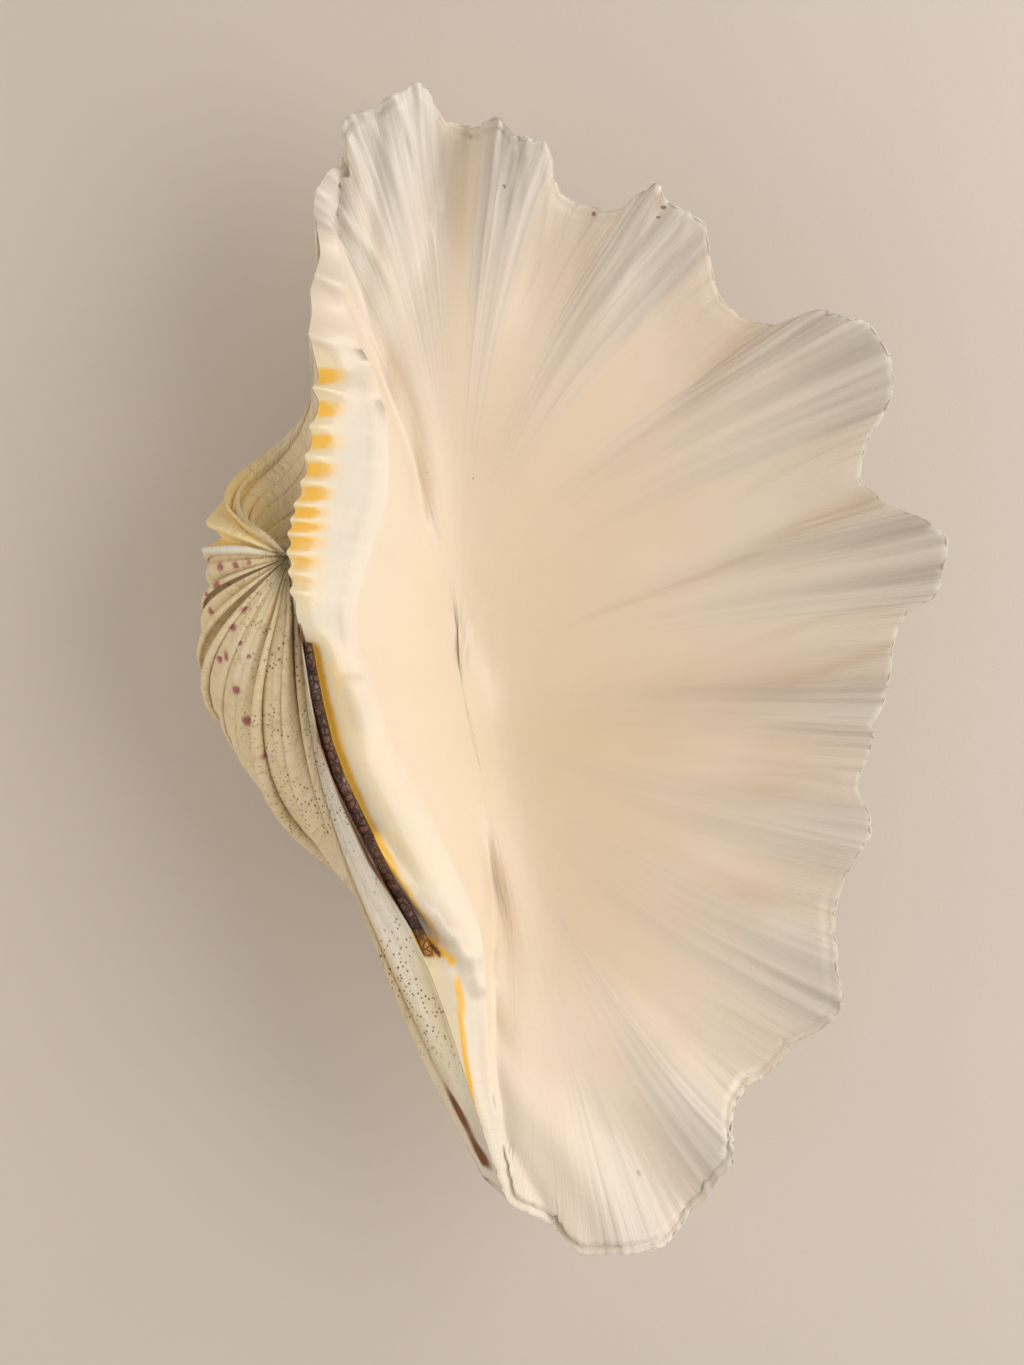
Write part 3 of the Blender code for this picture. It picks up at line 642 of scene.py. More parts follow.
# Marks that follow lines: pixels along each line, half width in pixels, strength.
# Painted shade along the troughs between the folds and beside the lower tooth, with some real brown stains
# among them.
TROUGH_SHADES_AND_STAINS = (
    (((462, 125), (455, 250), (440, 350)), 16, 0.35),
    (((590, 210), (585, 300), (530, 400), (470, 470)), 18, 0.35),
    (((750, 330), (690, 400), (620, 460), (560, 500)), 20, 0.6),
    (((880, 495), (790, 535), (700, 575), (640, 597)), 22, 0.75),
    (((760, 552), (700, 577), (600, 612), (566, 628)), 7, 1.0),
    (((481, 976), (455, 945), (430, 915), (392, 864)), 3.5, 1.0),
    (((658, 196), (668, 222)), 10, 1.0),
    (((575, 1050), (592, 1057)), 9, 1.0),
    (((895, 645), (800, 680), (640, 697)), 12, 0.6),
    (((860, 785), (790, 765), (640, 750)), 12, 0.4),
    (((836, 915), (750, 890), (620, 830)), 14, 0.4),
    (((750, 1088), (680, 1020), (600, 950), (540, 900)), 14, 0.3),
)
ORANGE_LINES = (
    (((440, 950), (457, 966), (459, 990), (461, 1020), (465, 1055), (470, 1085), (475, 1120)), 4.5, 0.85),
    (((441, 1052), (445, 1063)), 6, 0.6),
    (((313, 648), (326, 700), (341, 755), (363, 813), (396, 874)), 9, 0.85),
    (((331, 665), (338, 690), (350, 727)), 17, 0.2),
    (((396, 874), (430, 925), (452, 960)), 5, 0.5),
    (((418, 936), (436, 950)), 12, 1.0),
)
YELLOW_LINES = (
    (((318, 640), (340, 690), (350, 730), (372, 800), (420, 880)), 26, 0.8),
    (((425, 955), (438, 1000), (450, 1078)), 24, 1.0),
    (((460, 1000), (472, 1090), (480, 1130)), 14, 0.5),
    (((378, 740), (402, 790), (440, 870)), 16, 0.5),
    (((330, 665), (338, 690)), 22, 1.0),
)
BROWN_LINES = (
    (((451, 1098), (463, 1120), (478, 1150), (493, 1180), (504, 1202)), 5.5, 1.0),
    (((299, 626), (308, 660), (314, 700), (320, 740)), 5, 0.8),
    (((320, 740), (342, 800), (370, 862), (412, 925), (440, 955)), 5, 0.8),
)
# Where the masks start and are full, in pixels.
# The middle and reach of a painted warm glow of light bounced in the bowl, over a warmer real tint there.
DEEPEST = (520, 740)
DEEP_REACH = (300, 60)
CALM_X = (650, 530)
CALM_Y = (940, 1060)
FRONT_FADE = (300, 420)
# Where the painted shade on the folds thins, toward the lower folds that catch more light.
TONGUE_SHADE_FADE = (700, 900)
SOCKET_FADE = (530, 600)
LUNULE_EDGE = (553, 547)
BAND_WIDTH = 38
KEEL_WIDTH = 5.5
# How far below the rim they reach, in millimetres, then the turns of the coil, in radians.
RIM_SIDE = (42, 3)
TONGUE_REACH = 58.0
UMBO_TURNS = (1.2, 2.0)
KEEL_TURNS = (1.6, 2.2)
LUNULE_TURNS = (1.3, 1.8)
COIL_END_FADE = (0.0, 0.1)
NEAR_EDGE = 0.16
MM_PER_TURN = 60
FIRST_SOCKET = 361
SOCKET_REACH = 12
YELLOW_BAND = ((321, 372), (321, 388), (318, 440), (310, 482), (304, 515), (302, 553), (300, 584), (301, 598))
KEEL = ((208, 551), (240, 550), (288, 549))


def painted(pixels, lines, tail=1.0):
    """Strength of a set of lines at places in the photograph."""
    value = np.zeros(pixels.shape[:-1])
    for line, half_width, strength in lines:
        value = np.maximum(value, strength * ridge_profile(pixels, line, half_width, tail))
    return value


def rounded_lip(outer, inner, rays):
    """Adds a row on the rim between the two faces and draws their edges back from it."""
    lip = rays["rim"].copy()
    lip[:, 2] = 0.5 * (outer[0][:, 2] + inner[0][:, 2])
    for row in (outer[0], inner[0]):
        row[:, :2] += LIP_ROUND * directions(rays["across"])
    return lip


def relief(outer, inner, rays):
    """Moves the skin along its normals by the fine relief, and gives the masks for its material."""
    lip = rounded_lip(outer, inner, rays)
    rows = np.array(outer[::-1] + [lip] + inner)
    normals = face_normals(rows)
    gaps = np.linalg.norm(np.diff(np.array(inner), axis=0), axis=2)
    blank = np.zeros((1, len(rays["rim"])))
    depth = np.concatenate([blank, np.cumsum(gaps, axis=0)])
    striae, free, tongue = rays["striae"], rays["free"], rays["tongue"]
    fade = np.exp(-(depth / (STRIA_REACH * (0.4 + 0.8 * tongue))) ** 1.5) * free
    pixels = seen_at(rows)
    smooth_foot = smoothstep(*CALM_Y, pixels[..., 1]) * smoothstep(*CALM_X, pixels[..., 0])
    fade = fade * (1 - 0.9 * smooth_foot[len(outer) + 1:])
    inner_lift = STRIA_HEIGHT * striae * fade * (0.35 + 0.65 * tongue)
    turns = np.array(COIL_STEPS[::-1])[:, None]
    sizes = np.array([coil_size(t) for t in COIL_STEPS[::-1]])[:, None]
    high = RIBLET_HEIGHT + (UMBO_RIB_HEIGHT - RIBLET_HEIGHT) * smoothstep(*UMBO_TURNS, turns)
    outer_lift = high * (rays["riblets"] - 0.7) * (0.45 + 0.55 * free) * smoothstep(0, 0.35, turns)
    outer_lift = outer_lift * smoothstep(*COIL_END_FADE, sizes)
    above = normals[..., 2] > 0
    keel = ridge_profile(pixels[:len(outer)], KEEL, KEEL_WIDTH)
    keel = keel * above[:len(outer)] * smoothstep(*KEEL_TURNS, turns)
    outer_lift += KEEL_HEIGHT * keel * smoothstep(*COIL_END_FADE, sizes)

    def whole(on_outer, on_lip, on_inner):
        """Values for all the rows, from those of the outer face, the lip and the inner face."""
        return np.concatenate([on_outer + 0 * outer_lift, on_lip + blank, on_inner + 0 * inner_lift])

    rows = rows + normals * whole(outer_lift, 0, inner_lift)[..., None]
    inside_share = whole(0, 0.7, 1)
    depth = whole(0, 0, depth)
    fade = whole(0, 1, fade)
    wide = np.linalg.norm(rays["across"], axis=1)
    level = pixels[..., 1]
    gap = np.zeros(rows.shape[:2])
    for one, two in zip((FIRST_SOCKET, *CRENULATIONS), CRENULATIONS):
        reach = min(0.6 * (two - one), SOCKET_REACH)
        gap = np.maximum(gap, smoothstep(reach, 0.3 * reach, np.abs(level - (one + two) / 2)))
    band = ridge_profile(pixels, YELLOW_BAND, BAND_WIDTH) * inside_share
    front_fade = smoothstep(*FRONT_FADE, level)
    tongue_shade_fade = 1 - 0.4 * smoothstep(*TONGUE_SHADE_FADE, level)
    glossy = [(line, 4 * half, 1.0) for line, half, _ in FRONT_RIDGES]
    deep = np.hypot(pixels[..., 0] - DEEPEST[0], (pixels[..., 1] - DEEPEST[1]) * 0.6)
    masks = {
        "face": inside_share,
        # deep: painted glow of bounced light round the deepest part of the bowl, over its warmer real tint
        "deep": smoothstep(*DEEP_REACH, deep) * inside_share,
        "rim_side": smoothstep(*RIM_SIDE, depth) * rays["free"] * inside_share,
        "stria": striae * fade * inside_share,
        # tongue: painted shade on the folds that face away from the light, over real grey streaks, thinner on
        # the lower folds
        "tongue": tongue * np.exp(-(depth / TONGUE_REACH) ** 2) * inside_share * free
        * (1 - smooth_foot) * tongue_shade_fade,
        "socket": gap * band * (1 - 0.75 * smoothstep(*SOCKET_FADE, level)),
        "band": band,
        "plate": rays["hinge"] * smoothstep(1.0, 0.82, depth / wide) * inside_share * front_fade,
        "gloss": painted(pixels, glossy, 0.3) * inside_share,
        # Painted shade in the troughs between the folds, with some real stains
        "trough_shade_and_stain": painted(pixels, TROUGH_SHADES_AND_STAINS, 0.1) * inside_share,
        "orange": painted(pixels, ORANGE_LINES, 0.6) * inside_share,
        "yellow": painted(pixels, YELLOW_LINES) * above,
        "brown": painted(pixels, BROWN_LINES),
        "riblet": whole(rays["riblets"] * smoothstep(0.0, 0.2, sizes), 0, 0),
        "keel": whole(keel, 0, 0),
        "near_edge": whole(np.exp(-turns / NEAR_EDGE), 1, 1),
        "lunule": smoothstep(*LUNULE_EDGE, level) * smoothstep(*LUNULE_TURNS, whole(turns, 0, 0)) * above,
    }
    home = np.broadcast_to(rays["rim"], rows.shape).copy()
    home[..., 2] = whole(turns * MM_PER_TURN, 0, depth[len(outer) + 1:])
    return rows, masks, home


def add_piece(name, points, faces, material, node):
    mesh = bpy.data.meshes.new(name)
    mesh.from_pydata((points * MM).tolist(), [], faces)
    mesh.materials.append(material)
    mesh.shade_smooth()
    piece = bpy.data.objects.new(name, mesh)
    bpy.context.scene.collection.objects.link(piece)
    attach(piece, "root")
    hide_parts(node)
    return piece


def store(piece, name, values):
    """Keeps one number, or three, at each point of a piece for its material."""
    kind = "FLOAT" if values.ndim == 1 else "FLOAT_VECTOR"
    field = "value" if values.ndim == 1 else "vector"
    layer = piece.data.attributes.new(name, kind, "POINT")
    layer.data.foreach_set(field, np.ascontiguousarray(values, np.float32).ravel())


def in_world(points, shift, low, high):
    return np.clip(at_rest(points) - shift, low, high)


class Nodes:
    """The node tree of the material that is being made, which the helpers below add to."""
    tree = None


def new_material(name):
    material = bpy.data.materials.new(name)
    material.use_nodes = True
    Nodes.tree = material.node_tree
    return material, Nodes.tree.nodes["Principled BSDF"].inputs


def give(socket, value):
    """Links a socket to another, or sets its own value."""
    if isinstance(value, bpy.types.NodeSocket):
        Nodes.tree.links.new(value, socket)
    elif isinstance(value, tuple) and len(value) == 3 and socket.type == "RGBA":
        socket.default_value = (*value, 1)
    else:
        socket.default_value = value


def new_node(kind, inputs, **settings):
    node = Nodes.tree.nodes.new("ShaderNode" + kind)
    for name, value in settings.items():
        setattr(node, name, value)
    for name, value in inputs.items():
        give(node.inputs[name], value)
    return node


def attribute(name, output="Fac"):
    return new_node("Attribute", {}, attribute_name=name).outputs[output]


def object_place():
    return new_node("TexCoord", {}).outputs["Object"]


def mix(share, a, b):
    return new_node("Mix", {"Factor": share, "A": a, "B": b}, data_type="RGBA").outputs["Result"]


def painted_over(colour, *layers):
    """A colour under layers, each of a share and a colour."""
    for share, layer in layers:
        colour = mix(share, colour, layer)
    return colour


def ramp(value, low, high, least=0.0, most=1.0):
    inputs = {"Value": value, "From Min": low, "From Max": high, "To Min": least, "To Max": most}
    return new_node("MapRange", inputs, interpolation_type="SMOOTHSTEP").outputs["Result"]


def vector_node(operation, a, b, output=0):
    return new_node("VectorMath", {0: a, 1: b}, operation=operation).outputs[output]


def noise(vector, scale, detail=3.0, roughness=0.55, output="Fac"):
    inputs = {"Vector": vector, "Scale": scale, "Detail": detail, "Roughness": roughness}
    return new_node("TexNoise", inputs).outputs[output]


def cells(vector, scale, feature="F1"):
    return new_node("TexVoronoi", {"Vector": vector, "Scale": scale}, feature=feature).outputs["Distance"]


def math_node(operation, *values):
    """One number from several, taken two by two."""
    result = values[0]
    for value in values[1:]:
        result = new_node("Math", {0: result, 1: value}, operation=operation).outputs[0]
    return result


def times(*values):
    return math_node("MULTIPLY", *values)


def bump(height, size, normal=None):
    inputs = {"Height": height, "Distance": size[0], "Strength": size[1]}
    if normal is not None:
        inputs["Normal"] = normal
    return new_node("Bump", inputs).outputs["Normal"]


def spots(vector, places):
    """1 in round spots at places of the object, each a centre in metres and a radius in millimetres."""
    return math_node("MAXIMUM", *[
        ramp(vector_node("DISTANCE", vector, centre, "Value"), radius * MM * 1.35, radius * MM * 0.5)
        for centre, radius in places])


CREAM = (0.80, 0.71, 0.585)
PEACH = (0.80, 0.67, 0.53)
# Painted glow of bounced light in the bowl, over a warmer real tint.
GLOW_WARM = (0.89, 0.73, 0.54)
# Chalk: the chalky rim, and painted shade on the folds.
CHALK_AND_SHADE = (0.74, 0.69, 0.62)
# Grey: real grey streaks, and painted shade on the folds and in the grooves of the striae.
GREY = (0.48, 0.43, 0.365)
WHITE = (0.79, 0.745, 0.665)
PLATE_WHITE = (0.645, 0.57, 0.465)
YELLOW = (0.84, 0.48, 0.065)
PALE_YELLOW = (0.82, 0.68, 0.40)
AMBER = (0.68, 0.33, 0.035)
BROWN = (0.17, 0.06, 0.018)
# Brown of the painted shade in the troughs, and of real stains.
SHADE_AND_STAIN_BROWN = (0.56, 0.42, 0.28)
RIB_CREAM = (0.75, 0.61, 0.38)
RIB_SHADE = (0.42, 0.28, 0.13)
LUNULE = (0.97, 0.76, 0.36)
PURPLE = (0.33, 0.055, 0.075)
PIT = (0.26, 0.16, 0.08)
STRIP_WHITE = (0.95, 0.87, 0.74)
HORN_DARK = (0.045, 0.018, 0.012)
HORN = (0.16, 0.065, 0.03)
HORN_HIGHLIGHT_GREY = (0.35, 0.27, 0.26)
HORN_END = (0.45, 0.18, 0.03)
CRACK_SHADOW = (0.02, 0.008, 0.005)
TABLE = (0.60, 0.53, 0.465)
TABLE_LIGHT = (0.635, 0.565, 0.50)
TABLE_FLECK = (0.4, 0.33, 0.26)
OUTER_ROUGH = (0.6, 0.6, 0.6)
INNER_ROUGH = (0.38, 0.38, 0.38)
TONGUE_ROUGH = (0.46, 0.46, 0.46)
GLOSSY = (0.2, 0.2, 0.2)
BAND_ROUGH = (0.16, 0.16, 0.16)

# Noises that run with the growth of the shell, as stretch, detail and roughness:
# grey bands, streaks, fine streaks and growth lines.
HOME_NOISES = (
    ((0.16, 0.16, 0.006), 2.0, 0.5), ((0.5, 0.5, 0.012), 3.0, 0.6), ((1.7, 1.7, 0.03), 3.0, 0.6),
    ((0.03, 0.03, 0.30), 4.0, 0.65),
)
# Noises in place, as scale per metre and detail: clouds, mottle, grit and the sockets' stain.
SKIN_NOISES = ((16.0, 4.0), (90.0, 3.0), (900.0, 2.0), (260.0, 3.0))
HORN_NOISE = (160.0, 5.0, 0.65)
# Patches of painted highlight on the ligament, as scale per metre and detail.
HIGHLIGHT_PATCHES = (110.0, 3.0)
CRACK_SCALE = 520.0
FLECKS = (1400.0, 2.0)
TABLE_CLOUDS = (3.0, 3.0)
WARP_SCALE = 500.0
WARP_REACH = 0.0014
PIT_SCALE = 820.0
PIT_PATCHES = (70.0, 2.0)
# Relief in the materials, as distance in metres and strength.
STREAK_RELIEF = (0.0005, 0.5)
GROWTH_RELIEF = (0.0016, 0.7)
PIT_RELIEF = (-0.0006, 0.8)
GRIT_RELIEF = (0.0002, 0.25)
CRACK_RELIEF = (0.0006, 0.8)
HORN_RELIEF = (0.0005, 0.5)
FLECK_RELIEF = (0.0002, 0.2)


def shell_material(purple_places, speck_places):
    material, surface = new_material("shell_lime_looks")
    where = object_place()
    home = attribute("home", "Vector")
    face = ramp(attribute("face"), 0.3, 0.8)
    tongue, plate, near_rim, riblet, strip, yellow = (
        attribute(name) for name in ("tongue", "plate", "rim_side", "riblet", "strip", "yellow"))
    bands, streaks, fine_streaks, growth = (
        noise(vector_node("MULTIPLY", home, stretch), 1.0, detail, roughness)
        for stretch, detail, roughness in HOME_NOISES)
    clouds, mottle, grit, stain = (noise(where, *scale) for scale in SKIN_NOISES)

    # Painted shade along the troughs between the folds, with some real stains.
    trough_shade_and_stain = times(attribute("trough_shade_and_stain"), ramp(fine_streaks, 0.3, 0.6, 0.45, 1.0), 0.7)
    socket = times(attribute("socket"), ramp(stain, 0.3, 0.6, 0.7, 1.15))
    orange = times(attribute("orange"), ramp(mottle, 0.25, 0.55, 0.65, 1.0))
    inner = painted_over(
        mix(ramp(clouds, 0.38, 0.66), CREAM, PEACH),
        # A painted warm glow of light bounced in the middle of the bowl, over its warmer real tint.
        (times(attribute("deep"), 0.6), GLOW_WARM),
        (times(near_rim, 0.25), CHALK_AND_SHADE),
        # On the folds: painted shade where they face away from the light, with grey bands and streaks that
        # are partly real streaks.
        (times(tongue, 0.85), CHALK_AND_SHADE),
        (times(ramp(bands, 0.40, 0.64), tongue, 0.55), GREY),
        (times(ramp(streaks, 0.45, 0.7), tongue, 0.35), GREY),
        # Painted shade in the grooves of the striae.
        (times(ramp(attribute("stria"), 0.0, -1.0), 0.35), GREY),
        (times(ramp(fine_streaks, 0.55, 0.72), near_rim, tongue, 0.35), GREY),
        (trough_shade_and_stain, SHADE_AND_STAIN_BROWN),
        (times(plate, 0.85), PLATE_WHITE),
        (times(plate, ramp(mottle, 0.45, 0.65), 0.35), PEACH),
        (times(yellow, ramp(mottle, 0.3, 0.6, 0.5, 0.9)), PALE_YELLOW),
        (times(attribute("band"), 0.7), PALE_YELLOW),
        (ramp(socket, 0.0, 1.0, 0.0, 0.95), YELLOW),
        (ramp(orange, 0.0, 0.5), YELLOW),
        (ramp(orange, 0.55, 1.0, 0.0, 0.7), AMBER))

    shake = noise(where, WARP_SCALE, 2.0, 0.5, "Color")
    shaken = vector_node("ADD", where, vector_node("MULTIPLY", shake, (WARP_REACH,) * 3))
    outer = painted_over(
        # Cream riblets, with painted shade in the grooves between them.
        mix(ramp(riblet, 0.1, -0.95, 0.0, 0.7), RIB_CREAM, RIB_SHADE),
        (times(ramp(growth, 0.5, 0.72), 0.4), RIB_SHADE),
        (times(ramp(mottle, 0.5, 0.75), 0.3), WHITE),
        (times(attribute("lunule"), ramp(riblet, -0.6, 0.8, 0.95, 0.6)), LUNULE),
        (attribute("keel"), WHITE),
        (times(attribute("near_edge"), 0.8), CHALK_AND_SHADE),
        (times(strip, 0.9), STRIP_WHITE),
        (times(strip, yellow, 0.8), PALE_YELLOW),
        (times(spots(shaken, purple_places), 0.85), PURPLE))

    pit_rare = ramp(noise(where, *PIT_PATCHES), 0.42, 0.55)
    pits = times(ramp(cells(where, PIT_SCALE), 0.28, 0.12), pit_rare, attribute("pitted"))
    give(surface["Base Color"], painted_over(
        mix(face, outer, inner),
        (ramp(attribute("brown"), 0.15, 0.7), BROWN),
        (pits, PIT),
        (times(spots(shaken, speck_places), 0.8), BROWN)))
    give(surface["Roughness"], painted_over(
        mix(face, OUTER_ROUGH, INNER_ROUGH),
        (times(tongue, 0.6), TONGUE_ROUGH),
        (times(plate, 0.9), GLOSSY),
        (attribute("gloss"), GLOSSY),
        (attribute("band"), BAND_ROUGH)))
    surface["Specular IOR Level"].default_value = 0.45
    surface["Subsurface Weight"].default_value = 0.12
    surface["Subsurface Radius"].default_value = (1.0, 0.6, 0.4)
    surface["Subsurface Scale"].default_value = 0.004
    lined = bump(times(fine_streaks, near_rim), STREAK_RELIEF)
    lined = bump(times(growth, math_node("SUBTRACT", 1.0, face)), GROWTH_RELIEF, lined)
    lined = bump(pits, PIT_RELIEF, lined)
    give(surface["Normal"], bump(grit, GRIT_RELIEF, lined))
    return material


def ligament_material():
    material, surface = new_material("ligament_horn_looks")
    where = object_place()
    tone = noise(where, *HORN_NOISE)
    cracks = cells(where, CRACK_SCALE, "DISTANCE_TO_EDGE")
    give(surface["Base Color"], painted_over(
        mix(ramp(tone, 0.35, 0.65), HORN_DARK, HORN),
        # Painted highlights: grey patches on the dark horn.
        (times(ramp(noise(where, *HIGHLIGHT_PATCHES), 0.58, 0.7), 0.45), HORN_HIGHLIGHT_GREY),
        (ramp(attribute("ends"), 0.2, 0.9), HORN_END),
        # Painted shadow in the cracks, over their relief.
        (ramp(cracks, 0.08, 0.0, 0.0, 0.7), CRACK_SHADOW)))
    give(surface["Roughness"], ramp(tone, 0.3, 0.7, 0.35, 0.7))
    lined = bump(ramp(cracks, 0.0, 0.15), CRACK_RELIEF)
    give(surface["Normal"], bump(tone, HORN_RELIEF, lined))
    return material


def floor_material():
    material, surface = new_material("table_top")
    where = object_place()
    fleck = noise(where, *FLECKS)
    give(surface["Base Color"], painted_over(
        mix(ramp(noise(where, *TABLE_CLOUDS), 0.3, 0.7), TABLE, TABLE_LIGHT),
        (ramp(fleck, 0.6, 0.75, 0.0, 0.06), TABLE_FLECK)))
    surface["Roughness"].default_value = 0.55
    give(surface["Normal"], bump(fleck, FLECK_RELIEF))
    return material


# Marks placed by pixel: spots on the umbo, then specks on the inner face, each with a radius in millimetres.
PURPLE_SPOTS = (
    (222, 564, 1.4), (238, 562, 1.1), (252, 559, 0.9), (219, 584, 1.5), (258, 589, 0.9), (247, 606, 1.3),
    (236, 625, 1.2), (212, 609, 1.3), (228, 654, 1.3), (222, 657, 1.1), (239, 687, 1.3), (252, 654, 0.8),
    (250, 718, 1.6), (264, 753, 1.4), (207, 592, 1.1), (214, 500, 0.8), (232, 583, 0.8), (243, 640, 0.8),
)
SPECKS = (
    (440, 114, 0.7), (313, 449, 0.6), (430, 470, 0.3), (475, 475, 0.35), (500, 400, 0.3), (507, 183, 0.4),
    (530, 215, 0.35), (565, 205, 0.35), (597, 211, 0.5), (640, 1172, 1.1), (760, 1078, 0.7),
    (666, 204, 0.8), (662, 214, 0.6), (452, 155, 0.3), (426, 170, 0.3), (396, 224, 0.3), (373, 202, 0.3),
    (333, 240, 0.3), (368, 285, 0.3), (440, 385, 0.3), (452, 454, 0.3), (436, 209, 0.3),
)


PITTED_BACK = ((300, 580), (280, 700), (330, 830), (420, 1020))
PITTED_WIDTH = 70
STRIP_FROM = (-45, -60)


def place_marks(tree, shift, marks):
    """Where marks seen at pixels of the photograph lie on the skin, with their radii."""
    camera = np.array([0, 0, CAMERA_HEIGHT])
    places = []
    for x, y, radius in marks:
        way = at_rest(np.array([*plan(x, y), 0.0]) - camera)
        origin = at_rest(camera) - shift
        hit = tree.ray_cast(Vector(origin * MM), Vector(way))[0]
        if hit:
            places.append((tuple(hit), radius))
    return places


def build_shell(shift, low, high):
    rays = make_rays(RAYS, True)
    outer = outside(rays, COIL_STEPS, outer_folds)
    inner = inside(rays, PLATE_STEPS, BOWL_STEPS, True)
    grooved = [row.copy() for row in inner]
    rows, masks, home = relief(outer, inner, rays)
    beak_end = np.array([*plan(*BEAK), -EDGE_THICKNESS])
    points, faces = loft(list(rows), beak_end, rows[-1].mean(0))
    world = in_world(points, shift, low, high)
    tree = BVHTree.FromPolygons((world * MM).tolist(), faces)
    material = shell_material(place_marks(tree, shift, PURPLE_SPOTS), place_marks(tree, shift, SPECKS))
    piece = add_piece("shell_skin", world, faces, material, "shell")
    outside_share = 1 - masks["face"]
    along = (rows[..., :2] - plan(*BEAK)) @ AXIS
    masks["strip"] = smoothstep(0.3, 0.8, rays["hinge"]) * outside_share * smoothstep(*STRIP_FROM, along)
    pixels = seen_at(rows)
    pitted = ridge_profile(pixels, PITTED_BACK, PITTED_WIDTH)
    masks["pitted"] = outside_share * (0.2 + 0.8 * pitted)
    for name, grid in masks.items():
        grid = grid * np.ones(rows.shape[:2])
        store(piece, name, np.concatenate([[grid[0].mean()], grid.ravel(), [grid[-1].mean()]]))
    store(piece, "home", np.vstack([home[0].mean(0)[None], home.reshape(-1, 3), home[-1].mean(0)[None]]))
    return rays, grooved


# The ligament: its place on the plate, its blocks' lengths and count, and the fade at its ends.
LIGAMENT_PLACE = (0.05, 0.2)
BLOCK_LENGTH = (1.2, 3.2)
BLOCKS = 80
LIGAMENT_ENDS = 12


def build_ligament(rays, inner, shift, low, high):
    """A cracked strip of blocks along the groove."""
    span = np.nonzero(rays["groove"] > 0.55)[0]
    parts = np.linspace(*LIGAMENT_PLACE, 11)
    stack = np.array([row[span] for row in inner[:len(PLATE_STEPS)]])
    at = np.interp(parts, PLATE_STEPS, np.arange(len(PLATE_STEPS)))
    low_row = at.astype(int)
    share = (at - low_row)[:, None, None]
    floor = stack[low_row] * (1 - share) + stack[low_row + 1] * share
    floor[..., 2] += LIGAMENT_GAP
    rng = np.random.default_rng(21)
    full = smoothstep(0.55, 1.0, rays["groove"][span])
    run = run_along(floor[5])
    cuts = np.cumsum(rng.uniform(*BLOCK_LENGTH, BLOCKS))
    block = np.searchsorted(cuts, run)
    edge = np.minimum(np.abs(run - np.concatenate([[0], cuts])[block]), np.abs(cuts[block] - run))
    heights = rng.uniform(0.7, 1.0, BLOCKS + 2)[block] - 0.28 * np.exp(-(edge / 0.3) ** 2)
    crown = np.sin(np.linspace(0.2, math.pi - 0.2, len(parts)))[:, None] ** 0.35
    rough = 1 - 0.12 * rng.random(floor.shape[:2]) ** 2
    top = floor.copy()
    top[..., 2] += 0.4 + LIGAMENT_HEIGHT * full * heights * crown * rough
    wide, long = floor.shape[:2]
    points = np.vstack([floor.reshape(-1, 3), top.reshape(-1, 3)])
    world = in_world(points, shift, low, high)
    piece = add_piece("ligament_strip", world, strip_faces(wide, long), ligament_material(), "ligament")
    ends = 1 - smoothstep(0, LIGAMENT_ENDS, np.tile(run, wide * 2))
    store(piece, "ends", ends)


def strip_faces(wide, long):
    """Faces of a closed slab: a lower and an upper grid of points, joined round their edge."""
    upper = wide * long
    faces = []
    for i in range(wide - 1):
        for j in range(long - 1):
            a, b, c, d = i * long + j, i * long + j + 1, (i + 1) * long + j + 1, (i + 1) * long + j
            faces.append((a, b, c, d))
            faces.append((upper + d, upper + c, upper + b, upper + a))
    edge = list(range(long)) + [i * long + long - 1 for i in range(1, wide)]
    edge += [(wide - 1) * long + j for j in range(long - 2, -1, -1)]
    edge += [i * long for i in range(wide - 2, 0, -1)]
    for a, b in zip(edge, edge[1:] + edge[:1]):
        faces.append((b, a, upper + a, upper + b))
    return faces


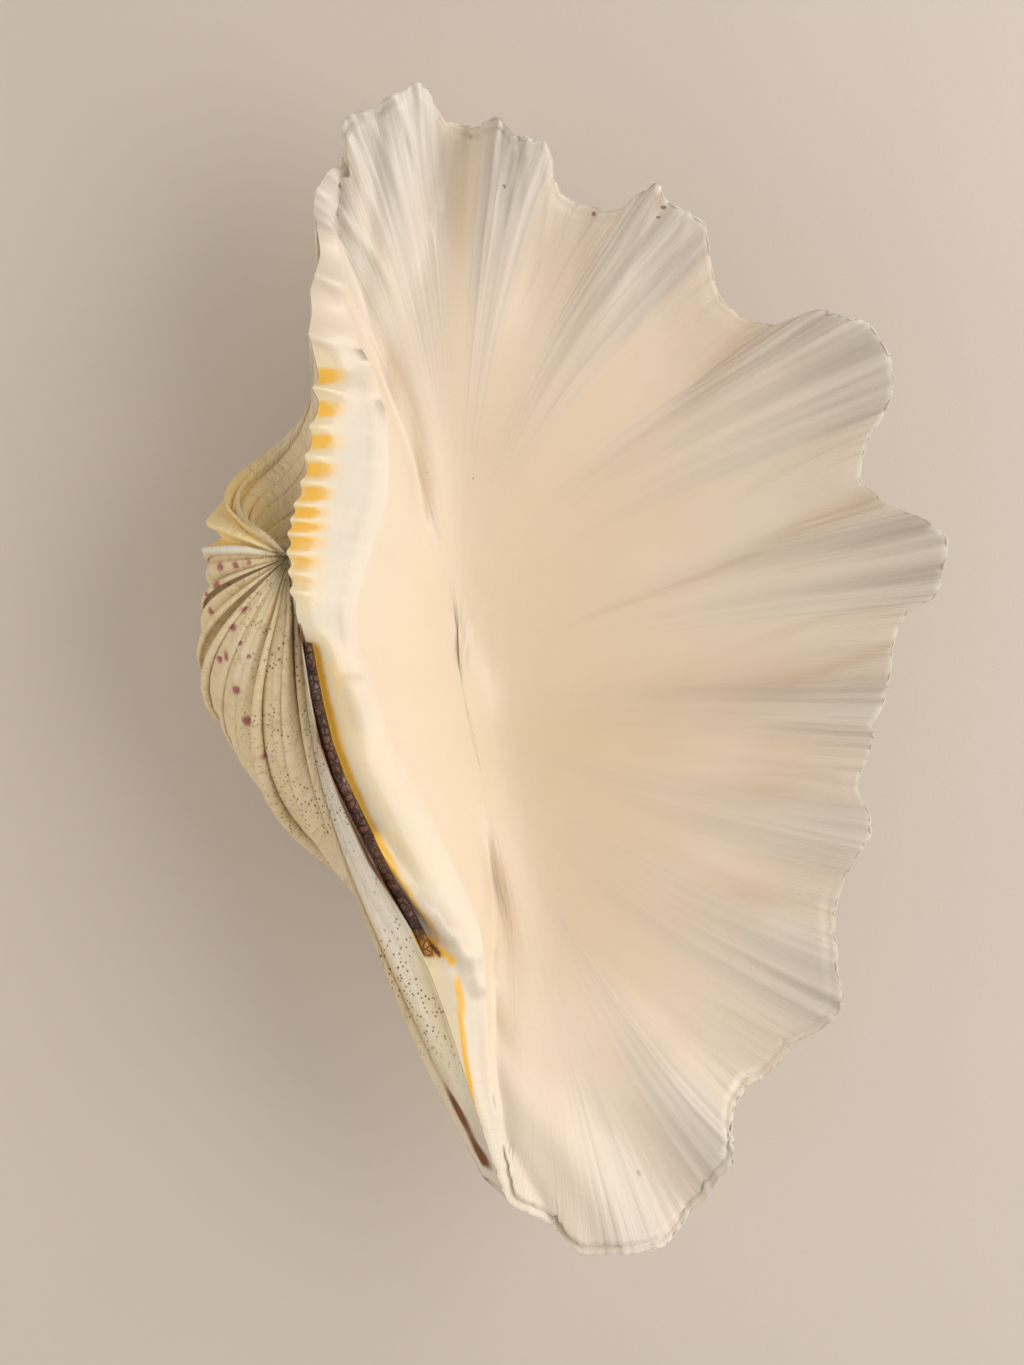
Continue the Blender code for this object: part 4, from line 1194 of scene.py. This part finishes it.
# The table and the lights, in metres and watts: each light's name, place, size, power and colour.
TABLE_HALF = 4.0
SKY = ((1.0, 0.945, 0.88, 1), 0.47)
LAMPS = (
    ("soft_key", (0.60, 0.10, 0.52), 0.80, 5.4, (1.0, 0.97, 0.94)),
    ("soft_fill", (-0.50, -0.08, 0.34), 0.60, 1.1, (1.0, 0.93, 0.84)),
)
AIM = (0, 0, 0.04)
SENSOR_HEIGHT = 36.0
CLIP_START = 0.01


def build_floor():
    mesh = bpy.data.meshes.new("table")
    corners = [(x * TABLE_HALF, y * TABLE_HALF, 0) for x, y in ((-1, -1), (1, -1), (1, 1), (-1, 1))]
    mesh.from_pydata(corners, [], [(0, 1, 2, 3)])
    mesh.materials.append(floor_material())
    table = bpy.data.objects.new("table", mesh)
    bpy.context.scene.collection.objects.link(table)


def add_light(name, place, size, power, colour):
    light = bpy.data.lights.new(name, "AREA")
    light.shape = "DISK"
    light.size = size
    light.energy = power
    light.color = colour
    lamp = bpy.data.objects.new(name, light)
    lamp.location = place
    lamp.rotation_euler = (Vector(AIM) - Vector(place)).to_track_quat("-Z", "Y").to_euler()
    bpy.context.scene.collection.objects.link(lamp)


def build_light():
    world = bpy.data.worlds.new("studio")
    bpy.context.scene.world = world
    world.use_nodes = True
    sky = world.node_tree.nodes["Background"]
    sky.inputs["Color"].default_value, sky.inputs["Strength"].default_value = SKY
    for lamp in LAMPS:
        add_light(*lamp)
    bpy.context.scene.view_settings.view_transform = "Standard"
    bpy.context.scene.view_settings.look = "None"


def build_camera(shift):
    """The camera straight above the hinge plane, which the resting valve turns with it."""
    data = bpy.data.cameras.new("view")
    data.sensor_fit = "VERTICAL"
    data.sensor_height = SENSOR_HEIGHT
    data.lens = CAMERA_HEIGHT / MM_PER_PIXEL / PHOTO_SIZE[1] * SENSOR_HEIGHT
    data.clip_start = CLIP_START
    camera = bpy.data.objects.new("view", data)
    place = (at_rest(np.array([0, 0, CAMERA_HEIGHT])) - shift) * MM
    camera.matrix_world = Matrix.Translation(Vector(place)) @ REST.to_4x4()
    bpy.context.scene.collection.objects.link(camera)
    bpy.context.scene.camera = camera


def main():
    shift = resting_shift()
    build_camera(shift)
    build_light()
    build_floor()
    low, high = (np.array(corner) / MM for corner in cad_box)
    rays, inner = build_shell(shift, low, high)
    build_ligament(rays, inner, shift, low, high)


main()
